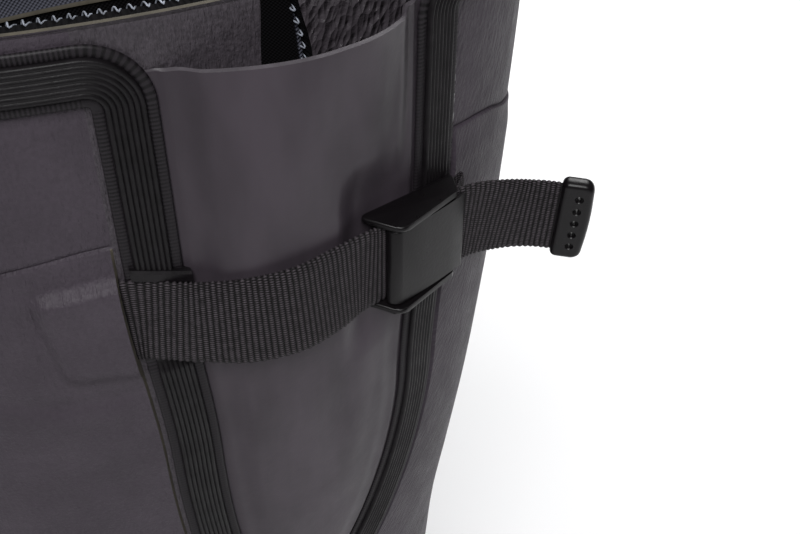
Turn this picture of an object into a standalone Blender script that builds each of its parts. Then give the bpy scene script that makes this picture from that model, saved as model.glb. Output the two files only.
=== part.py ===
"""Neoprene wellington boot for the left foot, with a strapped gusset at the collar.

Frame: toe along +X, outer (lateral) side along +Y, up +Z. The origin is on the floor under the
middle of the heel. Sizes are in millimetres and become metres where a mesh is made.
"""

import math
from collections import namedtuple

import bmesh
import bpy
import numpy as np
from mathutils import Matrix, Vector

MM = 0.001
GAP = 0.3

# Driving sizes of the boot
COLLAR_Z = 415.0
WALL = 4.0
OVERLAY = 1.0
OVERLAY_DEPTH = 43.0
HEEL_SEAT_Z = 24.0
BALL_SEAT_Z = 14.0
TOE_SPRING = 9.0
TOE_SPRING_X = 170.0
TOE_SPRING_RUN = 86.0
BALL_SKEW = 10.0
SEAT_FALL_X = 30.0
SEAT_FALL_RUN = 100.0
TOE_SQUARENESS = 0.35
HEEL_SQUARENESS = 0.30
OUTER_WAIST_SHARE = 0.35
SWING_POWER = 1.6
COLLAR_EDGE = 0.8
OVERLAY_SLOPE = 0.6
AROUND = 48

# Sections of the upper from the feather line to the collar. rise: height over the seat of the foot.
# follow: how far the section follows the seat's curve. x_*: places along the foot. half_*: half widths.
Section = namedtuple(
    "Section",
    "rise follow x_back x_heel x_wide x_front half_heel half_medial half_lateral waist swing",
)
SECTIONS = (
    Section(0.3, 1.00, -36.0, 2.0, 152.0, 254.0, 34.5, 48.0, 50.0, 9.0, -9.0),
    Section(9.0, 1.00, -37.6, 2.0, 152.0, 256.5, 35.8, 50.2, 52.0, 8.5, -9.0),
    Section(18.5, 0.98, -38.6, 2.0, 150.0, 255.5, 36.6, 51.0, 53.0, 7.5, -9.0),
    Section(28.5, 0.93, -38.9, 2.5, 145.0, 249.5, 36.9, 50.4, 52.6, 6.0, -9.0),
    Section(38.0, 0.87, -38.8, 3.0, 134.0, 237.5, 36.9, 48.6, 50.8, 4.5, -8.5),
    Section(47.0, 0.80, -38.2, 4.0, 118.0, 218.0, 36.7, 46.2, 48.4, 3.0, -7.5),
    Section(57.3, 0.70, -37.3, 6.0, 98.0, 194.0, 36.6, 43.6, 45.6, 1.8, -6.0),
    Section(68.5, 0.58, -36.2, 9.0, 79.0, 169.0, 36.8, 41.6, 43.2, 0.8, -4.5),
    Section(82.0, 0.44, -34.6, 13.0, 63.0, 146.0, 37.4, 40.6, 41.6, 0.0, -3.0),
    Section(97.7, 0.30, -32.8, 19.0, 51.0, 128.0, 38.4, 40.4, 41.0, 0.0, -1.5),
    Section(114.0, 0.18, -31.2, 26.0, 43.0, 114.5, 39.6, 40.6, 40.9, 0.0, -0.5),
    Section(132.0, 0.08, -29.8, 30.0, 37.0, 106.2, 40.6, 41.0, 41.1, 0.0, 0.0),
    Section(152.0, 0.00, -29.0, 31.0, 34.0, 101.6, 41.0, 41.2, 41.2, 0.0, 0.0),
    Section(176.0, 0.00, -29.0, 30.0, 32.0, 99.4, 40.8, 40.8, 40.8, 0.0, 0.0),
    Section(202.0, 0.00, -30.2, 29.0, 30.5, 99.4, 40.0, 40.0, 40.0, 0.0, 0.0),
    Section(226.0, 0.00, -32.4, 28.6, 29.4, 100.5, 39.6, 39.6, 39.6, 0.0, 0.0),
    Section(245.0, 0.00, -35.0, 28.5, 28.6, 101.7, 39.8, 39.8, 39.8, 0.0, 0.0),
    Section(265.0, 0.00, -39.2, 28.4, 28.5, 103.8, 41.1, 41.1, 41.1, 0.0, 0.0),
    Section(290.0, 0.00, -44.2, 28.2, 28.3, 106.4, 42.5, 42.5, 42.5, 0.0, 0.0),
    Section(315.0, 0.00, -48.1, 28.1, 28.2, 108.6, 43.7, 43.7, 43.7, 0.0, 0.0),
    Section(340.0, 0.00, -51.5, 28.0, 28.1, 110.5, 44.8, 44.8, 44.8, 0.0, 0.0),
    Section(365.0, 0.00, -54.1, 28.0, 28.1, 112.0, 45.8, 45.8, 45.8, 0.0, 0.0),
    Section(390.0, 0.00, -56.3, 28.0, 28.1, 113.0, 46.8, 46.8, 46.8, 0.0, 0.0),
    Section(COLLAR_Z, 0.00, -57.6, 28.0, 28.1, 113.6, 47.7, 47.7, 47.7, 0.0, 0.0),
)
FIRST_SHAFT_ROW = 12
LAST_ROW = len(SECTIONS) - 1

# Gusset: the tape's centre line, as depths under the collar and distances round the shaft
GUSSET_CENTRE_TOP = -21.5
GUSSET_CENTRE_MID = -19.3
GUSSET_CENTRE_LOW = -10.0
GUSSET_HALF_TOP = 29.5
GUSSET_HALF_MID = 27.0
GUSSET_NARROWING_DEPTH = 50.0
GUSSET_MID_DEPTH = 100.0
GUSSET_LOW_DEPTH = 172.0
GUSSET_POINTEDNESS = 1.75
GUSSET_TOP_DEPTH = 9.0
GUSSET_SHEET = 1.2
GUSSET_SHEET_LOW = 159.0
EDGE_GAP = 0.9
RECESS_GAP = 1.2
RECESS_TURN = 4.0
RECESS_HIGH = 8.0
SLIT_HALF = 3.8
SLIT_DEPTH = 140.0
SLIT_CENTRE_X = 9.6
SLIT_SIDE = (20.0, 70.0)
SLIT_OVERCUT = 5.0

# Swell of the gusset: how far it stands off the shaft at each depth, and how far that leans forward
Swell = namedtuple("Swell", "depth height lean")
SWELLS = (
    Swell(9.0, 7.6, -0.2),
    Swell(30.0, 5.2, 0.4),
    Swell(45.0, 3.6, 0.8),
    Swell(60.0, 3.4, 0.9),
    Swell(90.0, 3.2, 0.7),
    Swell(120.0, 2.0, 0.3),
    Swell(150.0, 0.7, 0.0),
    Swell(172.0, 0.0, 0.0),
)

# Where the buckle presses the gusset flat: from nought to full, backwards, downwards and upwards
PRESS_BACK = (-24.0, -30.0)
PRESS_DOWN = (34.0, 46.0)
PRESS_UP = (86.0, 74.0)

# Ribbed tape
TAPE_HALF = 5.2
TAPE_BAND_HALF = 3.2
TAPE_FLANGE = 0.8
TAPE_THICK = 1.5
TAPE_SEAT = 0.45
TAPE_COLLAR_DEPTH = 8.0
TAPE_CORNER = 6.0

# Strap, its anchor and its tip
STRAP_DEPTH = 60.0
STRAP_WIDTH = 19.0
STRAP_THICK = 1.4
StrapKey = namedtuple("StrapKey", "around lift")
STRAP_KEYS = (
    StrapKey(13.6, 3.3),
    StrapKey(9.0, 3.45),
    StrapKey(3.3, 4.4),
    StrapKey(-5.0, 7.2),
    StrapKey(-14.0, 8.4),
    StrapKey(-22.0, 7.1),
    StrapKey(-27.5, 5.8),
)
ANCHOR_FRONT = 31.0
ANCHOR_TOP_DEPTH = 49.5
ANCHOR_LOW_DEPTH = 75.0
ANCHOR_THICK = 1.3
ANCHOR_EDGE = 0.4
ANCHOR_MARGIN = 1.5
TIP_LENGTH = 6.0
TIP_WIDTH = 21.4
TIP_THICK = 3.4
TIP_CORNER = 2.2
TIP_HOLES = 5
TIP_HOLE_PITCH = 3.4
TIP_HOLE_RADIUS = 0.8

# Buckle: along = backwards along the strap, out = away from the shaft, both from its seat on the shaft
BUCKLE_AROUND = -40.5
BUCKLE_HALF = 11.1
BASE_INSET = 0.2
PLATE = 1.3
BASE_LOW = 3.05
BASE_HIGH = 3.75
BASE_FRONT = -9.1
BASE_REAR = 12.2
SIDE_PLATE = ((-10.2, 1.5), (13.2, 2.1), (9.8, 7.4), (-6.5, 10.0))
SIDE_PLATE_RADII = (1.8, 0.8, 1.4, 2.3)
LEVER = ((-8.0, 5.8), (12.2, 6.4), (12.2, 7.35), (-8.0, 8.75))
LEVER_RADII = (0.5, 0.3, 0.4, 2.1)
LEVER_HALF = 9.2
PIN_RADIUS = 0.6
BORE_REACH = 20.0
PIN_AT = (-4.6, 7.2)
STRAP_OUT_FRONT = 4.75
STRAP_OUT_REAR = 5.4
LOOP_SLOT = (7.6, 9.6)
LOOP_HALF = 9.0
LOOP_THICK = 0.6
LOOP_ROUTE = (
    (8.6, 2.4),
    (8.55, 3.3),
    (8.75, 4.15),
    (11.0, 4.2),
    (12.6, 4.15),
    (14.2, 3.2),
    (16.6, 1.75),
    (16.6, 0.75),
    (14.4, 1.4),
    (11.6, 2.2),
)

# Free tail of the strap behind the buckle; its upper edge leans out towards the tip
Tail = namedtuple("Tail", "along out drop")
TAIL = (
    Tail(16.6, 5.75, 0.4),
    Tail(21.0, 6.9, 1.0),
    Tail(26.2, 9.1, 1.7),
    Tail(30.0, 11.9, 2.0),
    Tail(32.6, 14.7, 2.2),
)
TAIL_LEAN = math.radians(10.0)

# Sole: its side from the rim's top down to the edge, as offsets from the upper and heights over the seat
SideStep = namedtuple("SideStep", "offset height")
SIDE_STEPS = (
    SideStep(3.6, 9.0),
    SideStep(4.2, 8.6),
    SideStep(4.6, 4.2),
    SideStep(6.2, 3.4),
    SideStep(6.2, 0.6),
    SideStep(5.0, 0.0),
    SideStep(5.0, -1.6),
    SideStep(6.2, -2.2),
)
SOLE_EDGE = 5.6
BASE_Z = 5.0
ARCH_LIFT = 8.0
ARCH_END = 70.0
ARCH_RUN = 50.0
HEEL_BREAST_X = 44.0
INSOLE_THICK = 4.0
INSOLE_GAP = 0.9
INSOLE_EDGE = 0.8
LUG_EMBED = 1.2
HEEL_LUG_ROWS = (-25.0, 0.0, 26.0)
HEEL_LUG = 15.0
FORE_LUG_ROWS = (108.0, 128.0, 148.0, 168.0, 188.0, 208.0, 228.0)
FORE_LUG = 10.0
LUG_CENTRE_HALF = 11.0
LUG_CHANNEL = 5.0
LUG_TURN = math.radians(12.0)

MATERIALS = {
    "rubber": ((0.060, 0.055, 0.062, 1.0), 0.55),
    "sole_rubber": ((0.030, 0.028, 0.031, 1.0), 0.60),
    "tape": ((0.012, 0.011, 0.013, 1.0), 0.60),
    "webbing": ((0.022, 0.019, 0.022, 1.0), 0.80),
    "plastic": ((0.014, 0.012, 0.014, 1.0), 0.35),
    "footbed": ((0.045, 0.048, 0.060, 1.0), 0.90),
}


def smoothstep(value):
    value = np.clip(value, 0.0, 1.0)
    return value * value * (3.0 - 2.0 * value)


def seat_z(x):
    """Height of the foot's seat: heel, arch down to the ball, toe spring."""
    arch = HEEL_SEAT_Z + (BALL_SEAT_Z - HEEL_SEAT_Z) * smoothstep((x - SEAT_FALL_X) / SEAT_FALL_RUN)
    return arch + TOE_SPRING * np.clip((x - TOE_SPRING_X) / TOE_SPRING_RUN, 0.0, None) ** 2


def smooth_row(rows, level):
    """Values between the rows of a table, on a smooth curve through them."""
    last = len(rows) - 1
    low = min(int(level), last - 1)
    part = level - low
    p0, p1, p2, p3 = (np.asarray(rows[min(max(low + step, 0), last)]) for step in (-1, 0, 1, 2))
    bend = 2.0 * p0 - 5.0 * p1 + 4.0 * p2 - p3
    twist = 3.0 * (p1 - p2) + p3 - p0
    return p1 + 0.5 * part * (p2 - p0 + part * (bend + part * twist))


def section_at(level):
    return Section(*smooth_row(SECTIONS, level))


def level_at(z):
    """The level of the shaft that lies at a height."""
    levels = np.linspace(FIRST_SHAFT_ROW, LAST_ROW, 200)
    heights = [section_at(level).rise for level in levels]
    return float(np.interp(z, heights, levels))


def side_curve(section, side):
    """Half of a section's outline, from the front to the back. side: 1 outer, -1 inner."""
    turn = np.linspace(0.0, math.pi / 2.0, 60)
    front_power = 2.0 / (2.0 + TOE_SQUARENESS * section.follow)
    back_power = 2.0 / (2.0 + HEEL_SQUARENESS * section.follow)
    half = section.half_lateral if side > 0 else section.half_medial
    waist = section.waist * (OUTER_WAIST_SHARE if side > 0 else 1.0)
    x_wide = section.x_wide - side * BALL_SKEW * section.follow
    cos, sin = np.cos(turn).clip(0.0), np.sin(turn)
    front_x = x_wide + (section.x_front - x_wide) * cos**front_power
    front_half = half * sin**front_power
    run = np.linspace(0.0, 1.0, 40)[1:-1]
    middle_x = x_wide + (section.x_heel - x_wide) * run
    middle_half = half + (section.half_heel - half) * smoothstep(run)
    middle_half -= waist * np.sin(math.pi * run) ** 2
    back_x = section.x_heel - (section.x_heel - section.x_back) * sin**back_power
    back_half = section.half_heel * cos**back_power
    x = np.concatenate((front_x, middle_x, back_x))
    across = np.concatenate((front_half, middle_half, back_half))
    forward = np.clip((x - x_wide) / (section.x_front - x_wide), 0.0, 1.0)
    swing = section.swing * forward**SWING_POWER
    return np.stack((x, swing + side * across), axis=1)


def spaced(curve, count):
    """Points at even distances along an open curve, ends included."""
    steps = np.linalg.norm(np.diff(curve, axis=0), axis=1)
    keep = np.concatenate(([True], steps > 1e-6))
    curve = curve[keep]
    along = np.concatenate(([0.0], np.cumsum(np.linalg.norm(np.diff(curve, axis=0), axis=1))))
    wanted = np.linspace(0.0, along[-1], count)
    return np.stack([np.interp(wanted, along, column) for column in curve.T], axis=1)


def ring(level, offset=0.0, count=AROUND):
    """Closed outline of the upper at a level, pushed out sideways by an offset."""
    section = section_at(level)
    half = count // 2
    outer = spaced(side_curve(section, 1), half + 1)
    inner = spaced(side_curve(section, -1), half + 1)
    plan = np.concatenate((outer[:-1], inner[::-1][:-1]))
    ahead = np.roll(plan, -1, axis=0) - np.roll(plan, 1, axis=0)
    normal = np.stack((ahead[:, 1], -ahead[:, 0]), axis=1)
    normal /= np.linalg.norm(normal, axis=1)[:, None]
    plan = plan + normal * offset
    z = section.rise + section.follow * seat_z(plan[:, 0])
    return np.column_stack((plan, z))


def shaft_frame(around, depth):
    """Point on the shaft, its outward normal and the way round.

    around is the distance from the widest outer point, positive towards the front.
    """
    section = section_at(level_at(COLLAR_Z - depth))
    outer = spaced(side_curve(section, 1), 161)
    inner = spaced(side_curve(section, -1), 161)
    plan = np.concatenate((outer[::-1], inner[1:]))
    steps = np.linalg.norm(np.diff(plan, axis=0), axis=1)
    along = np.concatenate(([0.0], np.cumsum(steps)))
    widest = along[int(np.argmax(plan[:, 1]))]
    place = (widest + around) % along[-1]
    reach = 0.5
    x, y = (np.interp(place, along, plan[:, axis]) for axis in (0, 1))
    before = [np.interp((place - reach) % along[-1], along, plan[:, axis]) for axis in (0, 1)]
    after = [np.interp((place + reach) % along[-1], along, plan[:, axis]) for axis in (0, 1)]
    way = Vector((after[0] - before[0], after[1] - before[1], 0.0)).normalized()
    normal = Vector((-way.y, way.x, 0.0))
    return Vector((x, y, COLLAR_Z - depth)), normal, way


def shaft_length(depth):
    """Distance round the shaft at a depth."""
    outline = ring(level_at(COLLAR_Z - depth), count=320)
    return float(np.linalg.norm(np.roll(outline, -1, axis=0) - outline, axis=1).sum())


def on_shaft(around, depth, lift):
    point, normal, _ = shaft_frame(around, depth)
    return point + normal * lift


def gusset_centre(depth):
    if depth <= GUSSET_MID_DEPTH:
        return GUSSET_CENTRE_TOP + (GUSSET_CENTRE_MID - GUSSET_CENTRE_TOP) * depth / GUSSET_MID_DEPTH
    part = (depth - GUSSET_MID_DEPTH) / (GUSSET_LOW_DEPTH - GUSSET_MID_DEPTH)
    return GUSSET_CENTRE_MID + (GUSSET_CENTRE_LOW - GUSSET_CENTRE_MID) * part**1.5


def gusset_half(depth):
    """Half width from centre line to tape centre line, closing to a rounded point."""
    run = GUSSET_MID_DEPTH - GUSSET_NARROWING_DEPTH
    narrowing = smoothstep((depth - GUSSET_NARROWING_DEPTH) / run)
    half = GUSSET_HALF_TOP + (GUSSET_HALF_MID - GUSSET_HALF_TOP) * narrowing
    part = np.clip((depth - GUSSET_MID_DEPTH) / (GUSSET_LOW_DEPTH - GUSSET_MID_DEPTH), 0.0, 1.0)
    return float(half * (1.0 - part**GUSSET_POINTEDNESS) ** (1.0 / GUSSET_POINTEDNESS))


def tape_place(depth, side):
    """Place of the tape's centre line. side: 1 in front of the gusset, -1 behind it."""
    return gusset_centre(depth) + side * gusset_half(depth)


def tape_reach(depth, side):
    """Half the tape's width measured level round the shaft, where the tape may slant."""
    step = 1.0
    slope = (tape_place(depth + step, side) - tape_place(depth - step, side)) / (2.0 * step)
    return TAPE_HALF * math.hypot(1.0, slope)


def gusset_edge(depth, side):
    return tape_place(depth, side) - side * (tape_reach(depth, side) + EDGE_GAP)


def buckle_press(around, depth):
    """1 where the buckle presses the gusset flat on the shaft, 0 away from it."""
    ramps = ((around, PRESS_BACK), (depth, PRESS_DOWN), (depth, PRESS_UP))
    return math.prod(smoothstep((place - start) / (stop - start)) for place, (start, stop) in ramps)


def gusset_lift(around, depth):
    """How far the gusset's outer face stands off the shaft."""
    front, rear = gusset_edge(depth, 1), gusset_edge(depth, -1)
    across = np.clip((2.0 * around - front - rear) / (front - rear), -1.0, 1.0)
    depths = [swell.depth for swell in SWELLS]
    height = np.interp(depth, depths, [swell.height for swell in SWELLS])
    lean = np.interp(depth, depths, [swell.lean for swell in SWELLS])
    swell = height * (1.0 - across**2) * math.exp(lean * across)
    return GAP + GUSSET_SHEET + swell * (1.0 - buckle_press(around, depth))


def tape_route():
    """Closed route of the tape's centre line, as (around, depth), from the gusset's low end."""
    low = []
    for part in np.linspace(0.0, 1.0, 10)[1:-1]:
        depth = GUSSET_LOW_DEPTH - (GUSSET_LOW_DEPTH - GUSSET_MID_DEPTH) * part**1.6
        low.append(depth)
    upright = low + list(np.linspace(GUSSET_MID_DEPTH, TAPE_COLLAR_DEPTH + TAPE_CORNER, 9))
    front = [(tape_place(depth, 1), depth) for depth in upright]
    rear = [(tape_place(depth, -1), depth) for depth in upright]
    corner = [math.radians(angle) for angle in (22.5, 45.0, 67.5)]
    corner_z = TAPE_COLLAR_DEPTH + TAPE_CORNER
    front_x, rear_x = front[-1][0], rear[-1][0]
    length = shaft_length(TAPE_COLLAR_DEPTH)
    for angle in corner:
        reach = TAPE_CORNER * (1.0 - math.cos(angle))
        drop = corner_z - TAPE_CORNER * math.sin(angle)
        front.append((front_x + reach, drop))
        rear.append((rear_x - reach, drop))
    collar = np.linspace(front_x + TAPE_CORNER, length + rear_x - TAPE_CORNER, 64)
    level_run = [(around, TAPE_COLLAR_DEPTH) for around in collar]
    return [(GUSSET_CENTRE_LOW, GUSSET_LOW_DEPTH)] + front + level_run + rear[::-1]


def new_material(name):
    colour, roughness = MATERIALS[name]
    material = bpy.data.materials.new(name)
    material.use_nodes = True
    shader = material.node_tree.nodes["Principled BSDF"]
    shader.inputs["Base Color"].default_value = colour
    shader.inputs["Roughness"].default_value = roughness
    return material


def new_object(name, bm, material, collection):
    """Finish a mesh in millimetres as a named object in metres."""
    bmesh.ops.remove_doubles(bm, verts=bm.verts, dist=1e-4)
    bmesh.ops.recalc_face_normals(bm, faces=bm.faces)
    bmesh.ops.scale(bm, vec=(MM, MM, MM), verts=bm.verts)
    mesh = bpy.data.meshes.new(name)
    bm.to_mesh(mesh)
    bm.free()
    mesh.shade_smooth()
    mesh.set_sharp_from_angle(angle=math.radians(35.0))
    piece = bpy.data.objects.new(name, mesh)
    if material:
        mesh.materials.append(material)
    collection.objects.link(piece)
    return piece


def add_cutter(name, bm):
    cutter = new_object(name, bm, None, CUTTERS)
    cutter.hide_render = True
    cutter.display_type = "WIRE"
    return cutter


def combine(piece, other, operation):
    modifier = piece.modifiers.new(other.name, "BOOLEAN")
    modifier.operation = operation
    modifier.solver = "EXACT"
    modifier.object = other


def loft(loops, close_ways=False, caps=None):
    """Skin through loops of equal length. caps: 'ladder' fills both end loops side to side."""
    bm = bmesh.new()
    rows = [[bm.verts.new(point) for point in loop] for loop in loops]
    count = len(rows[0])
    pairs = list(zip(rows, rows[1:] + rows[:1] if close_ways else rows[1:]))
    for row, following in pairs:
        for index in range(count):
            beside = (index + 1) % count
            bm.faces.new((row[index], row[beside], following[beside], following[index]))
    if caps == "ladder":
        for row in (rows[0], rows[-1]):
            for index in range(count // 2):
                corners = (row[index], row[index + 1], row[count - index - 1], row[-index])
                bm.faces.new(tuple(dict.fromkeys(corners)))
    if caps == "flat":
        for row in (rows[0], rows[-1]):
            bm.faces.new(row)
    return bm


def prism(outline, place, low, high):
    """Outline swept along a third way. place turns (first, second, third) into a point."""
    loops = [[place(first, second, third) for first, second in outline] for third in (low, high)]
    return loft(loops, caps="flat")


def rounded(corners, radii, steps=4):
    """Outline with its corners turned into arcs."""
    outline = []
    count = len(corners)
    for index, (corner, radius) in enumerate(zip(corners, radii)):
        here = Vector(corner)
        before = (Vector(corners[index - 1]) - here).normalized()
        after = (Vector(corners[(index + 1) % count]) - here).normalized()
        if radius <= 0.0:
            outline.append(tuple(here))
            continue
        half_angle = before.angle(after) / 2.0
        reach = radius / math.tan(half_angle)
        centre = here + (before + after).normalized() * radius / math.sin(half_angle)
        start = here + before * reach - centre
        sweep = start.angle_signed(here + after * reach - centre)
        for step in range(steps + 1):
            outline.append(tuple(centre + Matrix.Rotation(-sweep * step / steps, 2) @ start))
    return outline


def wall_loops():
    """Loops of the upper from its outer foot edge over the collar to its inner foot edge."""
    line_z = COLLAR_Z - OVERLAY_DEPTH
    outer = [ring(level, OVERLAY) for level in range(FIRST_SHAFT_ROW)]
    shaft_rows = [level_at(section.rise) for section in SECTIONS[FIRST_SHAFT_ROW:-1]]
    line_level = level_at(line_z)
    outer += [ring(level, OVERLAY) for level in shaft_rows if level < line_level]
    outer += [ring(level_at(line_z - OVERLAY_SLOPE), OVERLAY), ring(line_level)]
    outer += [ring(level) for level in shaft_rows if level > line_level]
    edge_level = level_at(COLLAR_Z - COLLAR_EDGE)
    outer += [ring(edge_level), ring(LAST_ROW, -COLLAR_EDGE)]
    inner = [ring(LAST_ROW, COLLAR_EDGE - WALL), ring(edge_level, -WALL)]
    inner += [ring(level, -WALL) for level in shaft_rows[::-1]]
    inner += [slope_inset(level) for level in range(FIRST_SHAFT_ROW - 1, -1, -1)]
    return outer + inner


def slope_inset(level):
    """Inner outline of the foot, set in by the wall along the surface's own slope."""
    here = ring(level)
    near = ring(min(level + 0.02, LAST_ROW)) - ring(max(level - 0.02, 0.0))
    ahead = np.roll(here, -1, axis=0) - np.roll(here, 1, axis=0)
    normal = np.cross(ahead, near)
    normal /= np.linalg.norm(normal, axis=1)[:, None]
    inset = here - normal * WALL
    if level == 0:
        inset[:, 2] = here[:, 2]
    return inset


def build_upper(material):
    upper = new_object("upper", loft(wall_loops(), close_ways=True), material, PARTS)
    combine(upper, recess_cutter(), "DIFFERENCE")
    combine(upper, slit_cutter(), "DIFFERENCE")
    return upper


def recess_cutter():
    """Room for gusset and tape in the lower rubber layer, rounded at its low end."""
    turn_depth = GUSSET_LOW_DEPTH - RECESS_TURN
    turn_reach = GUSSET_LOW_DEPTH + TAPE_HALF + RECESS_GAP - turn_depth
    rows = [(depth, depth, 1.0) for depth in np.linspace(OVERLAY_DEPTH - 1.5, turn_depth, 14)]
    for part in (0.4, 0.7, 0.9, 1.0):
        rows.append((turn_depth + turn_reach * part, turn_depth, math.sqrt(1.04 - part**2)))
    loops = []
    for depth, edge_depth, share in rows:
        front, rear = (recess_edge(edge_depth, side) for side in (1, -1))
        middle, half = (front + rear) / 2.0, (front - rear) / 2.0 * share
        places = np.linspace(middle - half, middle + half, 9)
        inner = [on_shaft(around, depth, -GAP) for around in places]
        outer = [on_shaft(around, depth, RECESS_HIGH) for around in places[::-1]]
        loops.append(inner + outer)
    return add_cutter("gusset_recess", loft(loops, caps="flat"))


def recess_edge(depth, side):
    return tape_place(depth, side) + side * (tape_reach(depth, side) + RECESS_GAP)


def slit_cutter():
    low_z = COLLAR_Z - SLIT_DEPTH
    arc = [math.radians(angle) for angle in range(180, 361, 30)]
    outline = [(SLIT_CENTRE_X + SLIT_HALF * math.cos(a), low_z + SLIT_HALF * math.sin(a)) for a in arc]
    outline += [(SLIT_CENTRE_X + side * SLIT_HALF, COLLAR_Z + SLIT_OVERCUT) for side in (1, -1)]
    return add_cutter("slit", prism(outline, lambda x, z, y: (x, y, z), *SLIT_SIDE))


def build_gusset(material):
    """Sheet between the tapes, swelling off the shaft."""
    depths = np.linspace(GUSSET_TOP_DEPTH, GUSSET_SHEET_LOW, 19)
    loops = []
    for depth in depths:
        places = np.linspace(gusset_edge(depth, -1), gusset_edge(depth, 1), 11)
        lifts = [gusset_lift(around, depth) for around in places]
        outer = [on_shaft(around, depth, lift) for around, lift in zip(places, lifts)]
        inner = [on_shaft(around, depth, lift - GUSSET_SHEET) for around, lift in zip(places, lifts)]
        loops.append(outer + inner[::-1])
    return new_object("gusset", loft(loops, caps="flat"), material, PARTS)


def build_tape(material):
    flange, band = TAPE_SEAT + TAPE_FLANGE, TAPE_SEAT + TAPE_THICK
    right = [(TAPE_BAND_HALF, band), (TAPE_BAND_HALF, flange), (TAPE_HALF, flange), (TAPE_HALF, TAPE_SEAT)]
    profile = [(-across, lift) for across, lift in right[::-1]] + right
    frames = [shaft_frame(around, depth) for around, depth in tape_route()]
    loops = []
    for index, (point, normal, _) in enumerate(frames):
        ahead = frames[(index + 1) % len(frames)][0] - frames[index - 1][0]
        aside = ahead.cross(normal).normalized()
        loops.append([point + aside * across + normal * lift for across, lift in profile])
    return new_object("binding_tape", loft(loops, close_ways=True), material, PARTS)


def framed(low, high, margin, count):
    """Places from low to high, with one margin at either end."""
    return np.concatenate(([low], np.linspace(low + margin, high - margin, count), [high]))


def build_anchor(material):
    """Patch over the sewn-in end of the strap, thin at its edges."""
    start = STRAP_KEYS[0].around + GAP
    places = framed(start, ANCHOR_FRONT, ANCHOR_MARGIN, 5)
    depths = framed(ANCHOR_TOP_DEPTH, ANCHOR_LOW_DEPTH, ANCHOR_MARGIN, 4)
    seat = OVERLAY + 1.5 * GAP
    loops = []
    for depth in depths:
        thick = ANCHOR_THICK if depths[0] < depth < depths[-1] else ANCHOR_EDGE
        outer = []
        for around in places:
            lift = ANCHOR_EDGE if around == ANCHOR_FRONT else thick
            outer.append(on_shaft(around, depth, seat + lift))
        inner = [on_shaft(around, depth, seat) for around in places[::-1]]
        loops.append(outer + inner)
    return new_object("strap_anchor", loft(loops, caps="flat"), material, PARTS)


def buckle_axes():
    """Seat of the buckle on the shaft, with its ways back, out and up."""
    seat, _, way = shaft_frame(BUCKLE_AROUND, STRAP_DEPTH)
    half = STRAP_WIDTH / 2.0
    high, low = (on_shaft(BUCKLE_AROUND, STRAP_DEPTH + side * half, 0.0) for side in (-1, 1))
    back = -way
    out = back.cross(high - low).normalized()
    return seat, back, out, out.cross(back)


def buckle_point(along, out, up):
    seat, back_way, out_way, up_way = BUCKLE_AXES
    return seat + back_way * along + out_way * out + up_way * up


def strap_route():
    """Points along the strap's middle, from the anchor to the tip."""
    keys = [on_shaft(key.around, STRAP_DEPTH, key.lift) for key in STRAP_KEYS]
    rise = (STRAP_OUT_REAR - STRAP_OUT_FRONT) / (BASE_REAR - BASE_FRONT)
    for along in np.linspace(BASE_FRONT, BASE_REAR, 5):
        keys.append(buckle_point(along, STRAP_OUT_FRONT + rise * (along - BASE_FRONT), 0.0))
    keys += [buckle_point(tail.along, tail.out, -tail.drop) for tail in TAIL]
    levels = np.linspace(0.0, len(keys) - 1.0, 200)
    return spaced(np.array([smooth_row(keys, level) for level in levels]), 48)


def strap_up(point):
    """Way up across the strap at a point: the buckle's, leaning out along the tail."""
    seat, back_way, out_way, up_way = BUCKLE_AXES
    along = (point - seat).dot(back_way)
    lean = float(np.interp(along, (BASE_REAR, TAIL[-1].along), (0.0, TAIL_LEAN)))
    return up_way * math.cos(lean) + out_way * math.sin(lean)


def strap_frames():
    """Point, way ahead, way up and way out at each step of the strap."""
    route = [Vector(point) for point in strap_route()]
    frames = []
    for index, point in enumerate(route):
        ahead = (route[min(index + 1, len(route) - 1)] - route[max(index - 1, 0)]).normalized()
        out = ahead.cross(strap_up(point)).normalized()
        frames.append((point, ahead, out.cross(ahead), out))
    return frames


def build_strap(material):
    corners = ((-1, -1), (1, -1), (1, 1), (-1, 1))
    loops = []
    for point, _, up, out in strap_frames():
        aside, lift = up * STRAP_WIDTH / 2.0, out * STRAP_THICK / 2.0
        loops.append([point + aside * across + lift * side for across, side in corners])
    return new_object("strap", loft(loops, caps="flat"), material, PARTS)


def rod(place, axis, radius, low, high, sides=20):
    """Round bar as a mesh, from low to high along an axis through a place."""
    bm = bmesh.new()
    round_bar = {"radius1": radius, "radius2": radius, "depth": high - low}
    bmesh.ops.create_cone(bm, cap_ends=True, segments=sides, **round_bar)
    turn = Vector((0.0, 0.0, 1.0)).rotation_difference(axis).to_matrix().to_4x4()
    shift = Matrix.Translation(place + axis * (low + high) / 2.0)
    bmesh.ops.transform(bm, matrix=shift @ turn, verts=bm.verts)
    return bm


def build_tip(material):
    point, ahead, up, out = strap_frames()[-1]
    origin = point + ahead * GAP

    def place(along, across, lift):
        return origin + ahead * along + up * across + out * lift

    half = TIP_WIDTH / 2.0
    corners = ((0.0, -half), (TIP_LENGTH, -half), (TIP_LENGTH, half), (0.0, half))
    outline = rounded(corners, (0.8, TIP_CORNER, TIP_CORNER, 0.8))
    tip = new_object("strap_tip", prism(outline, place, -TIP_THICK / 2.0, TIP_THICK / 2.0), material, PARTS)
    for index in range(TIP_HOLES):
        across = (index - (TIP_HOLES - 1) / 2.0) * TIP_HOLE_PITCH
        middle = place(TIP_LENGTH * 0.55, across, 0.0)
        hole = rod(middle, out, TIP_HOLE_RADIUS, -TIP_THICK, TIP_THICK, sides=12)
        combine(tip, add_cutter(f"tip_hole_{index + 1}", hole), "DIFFERENCE")
    return tip


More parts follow.
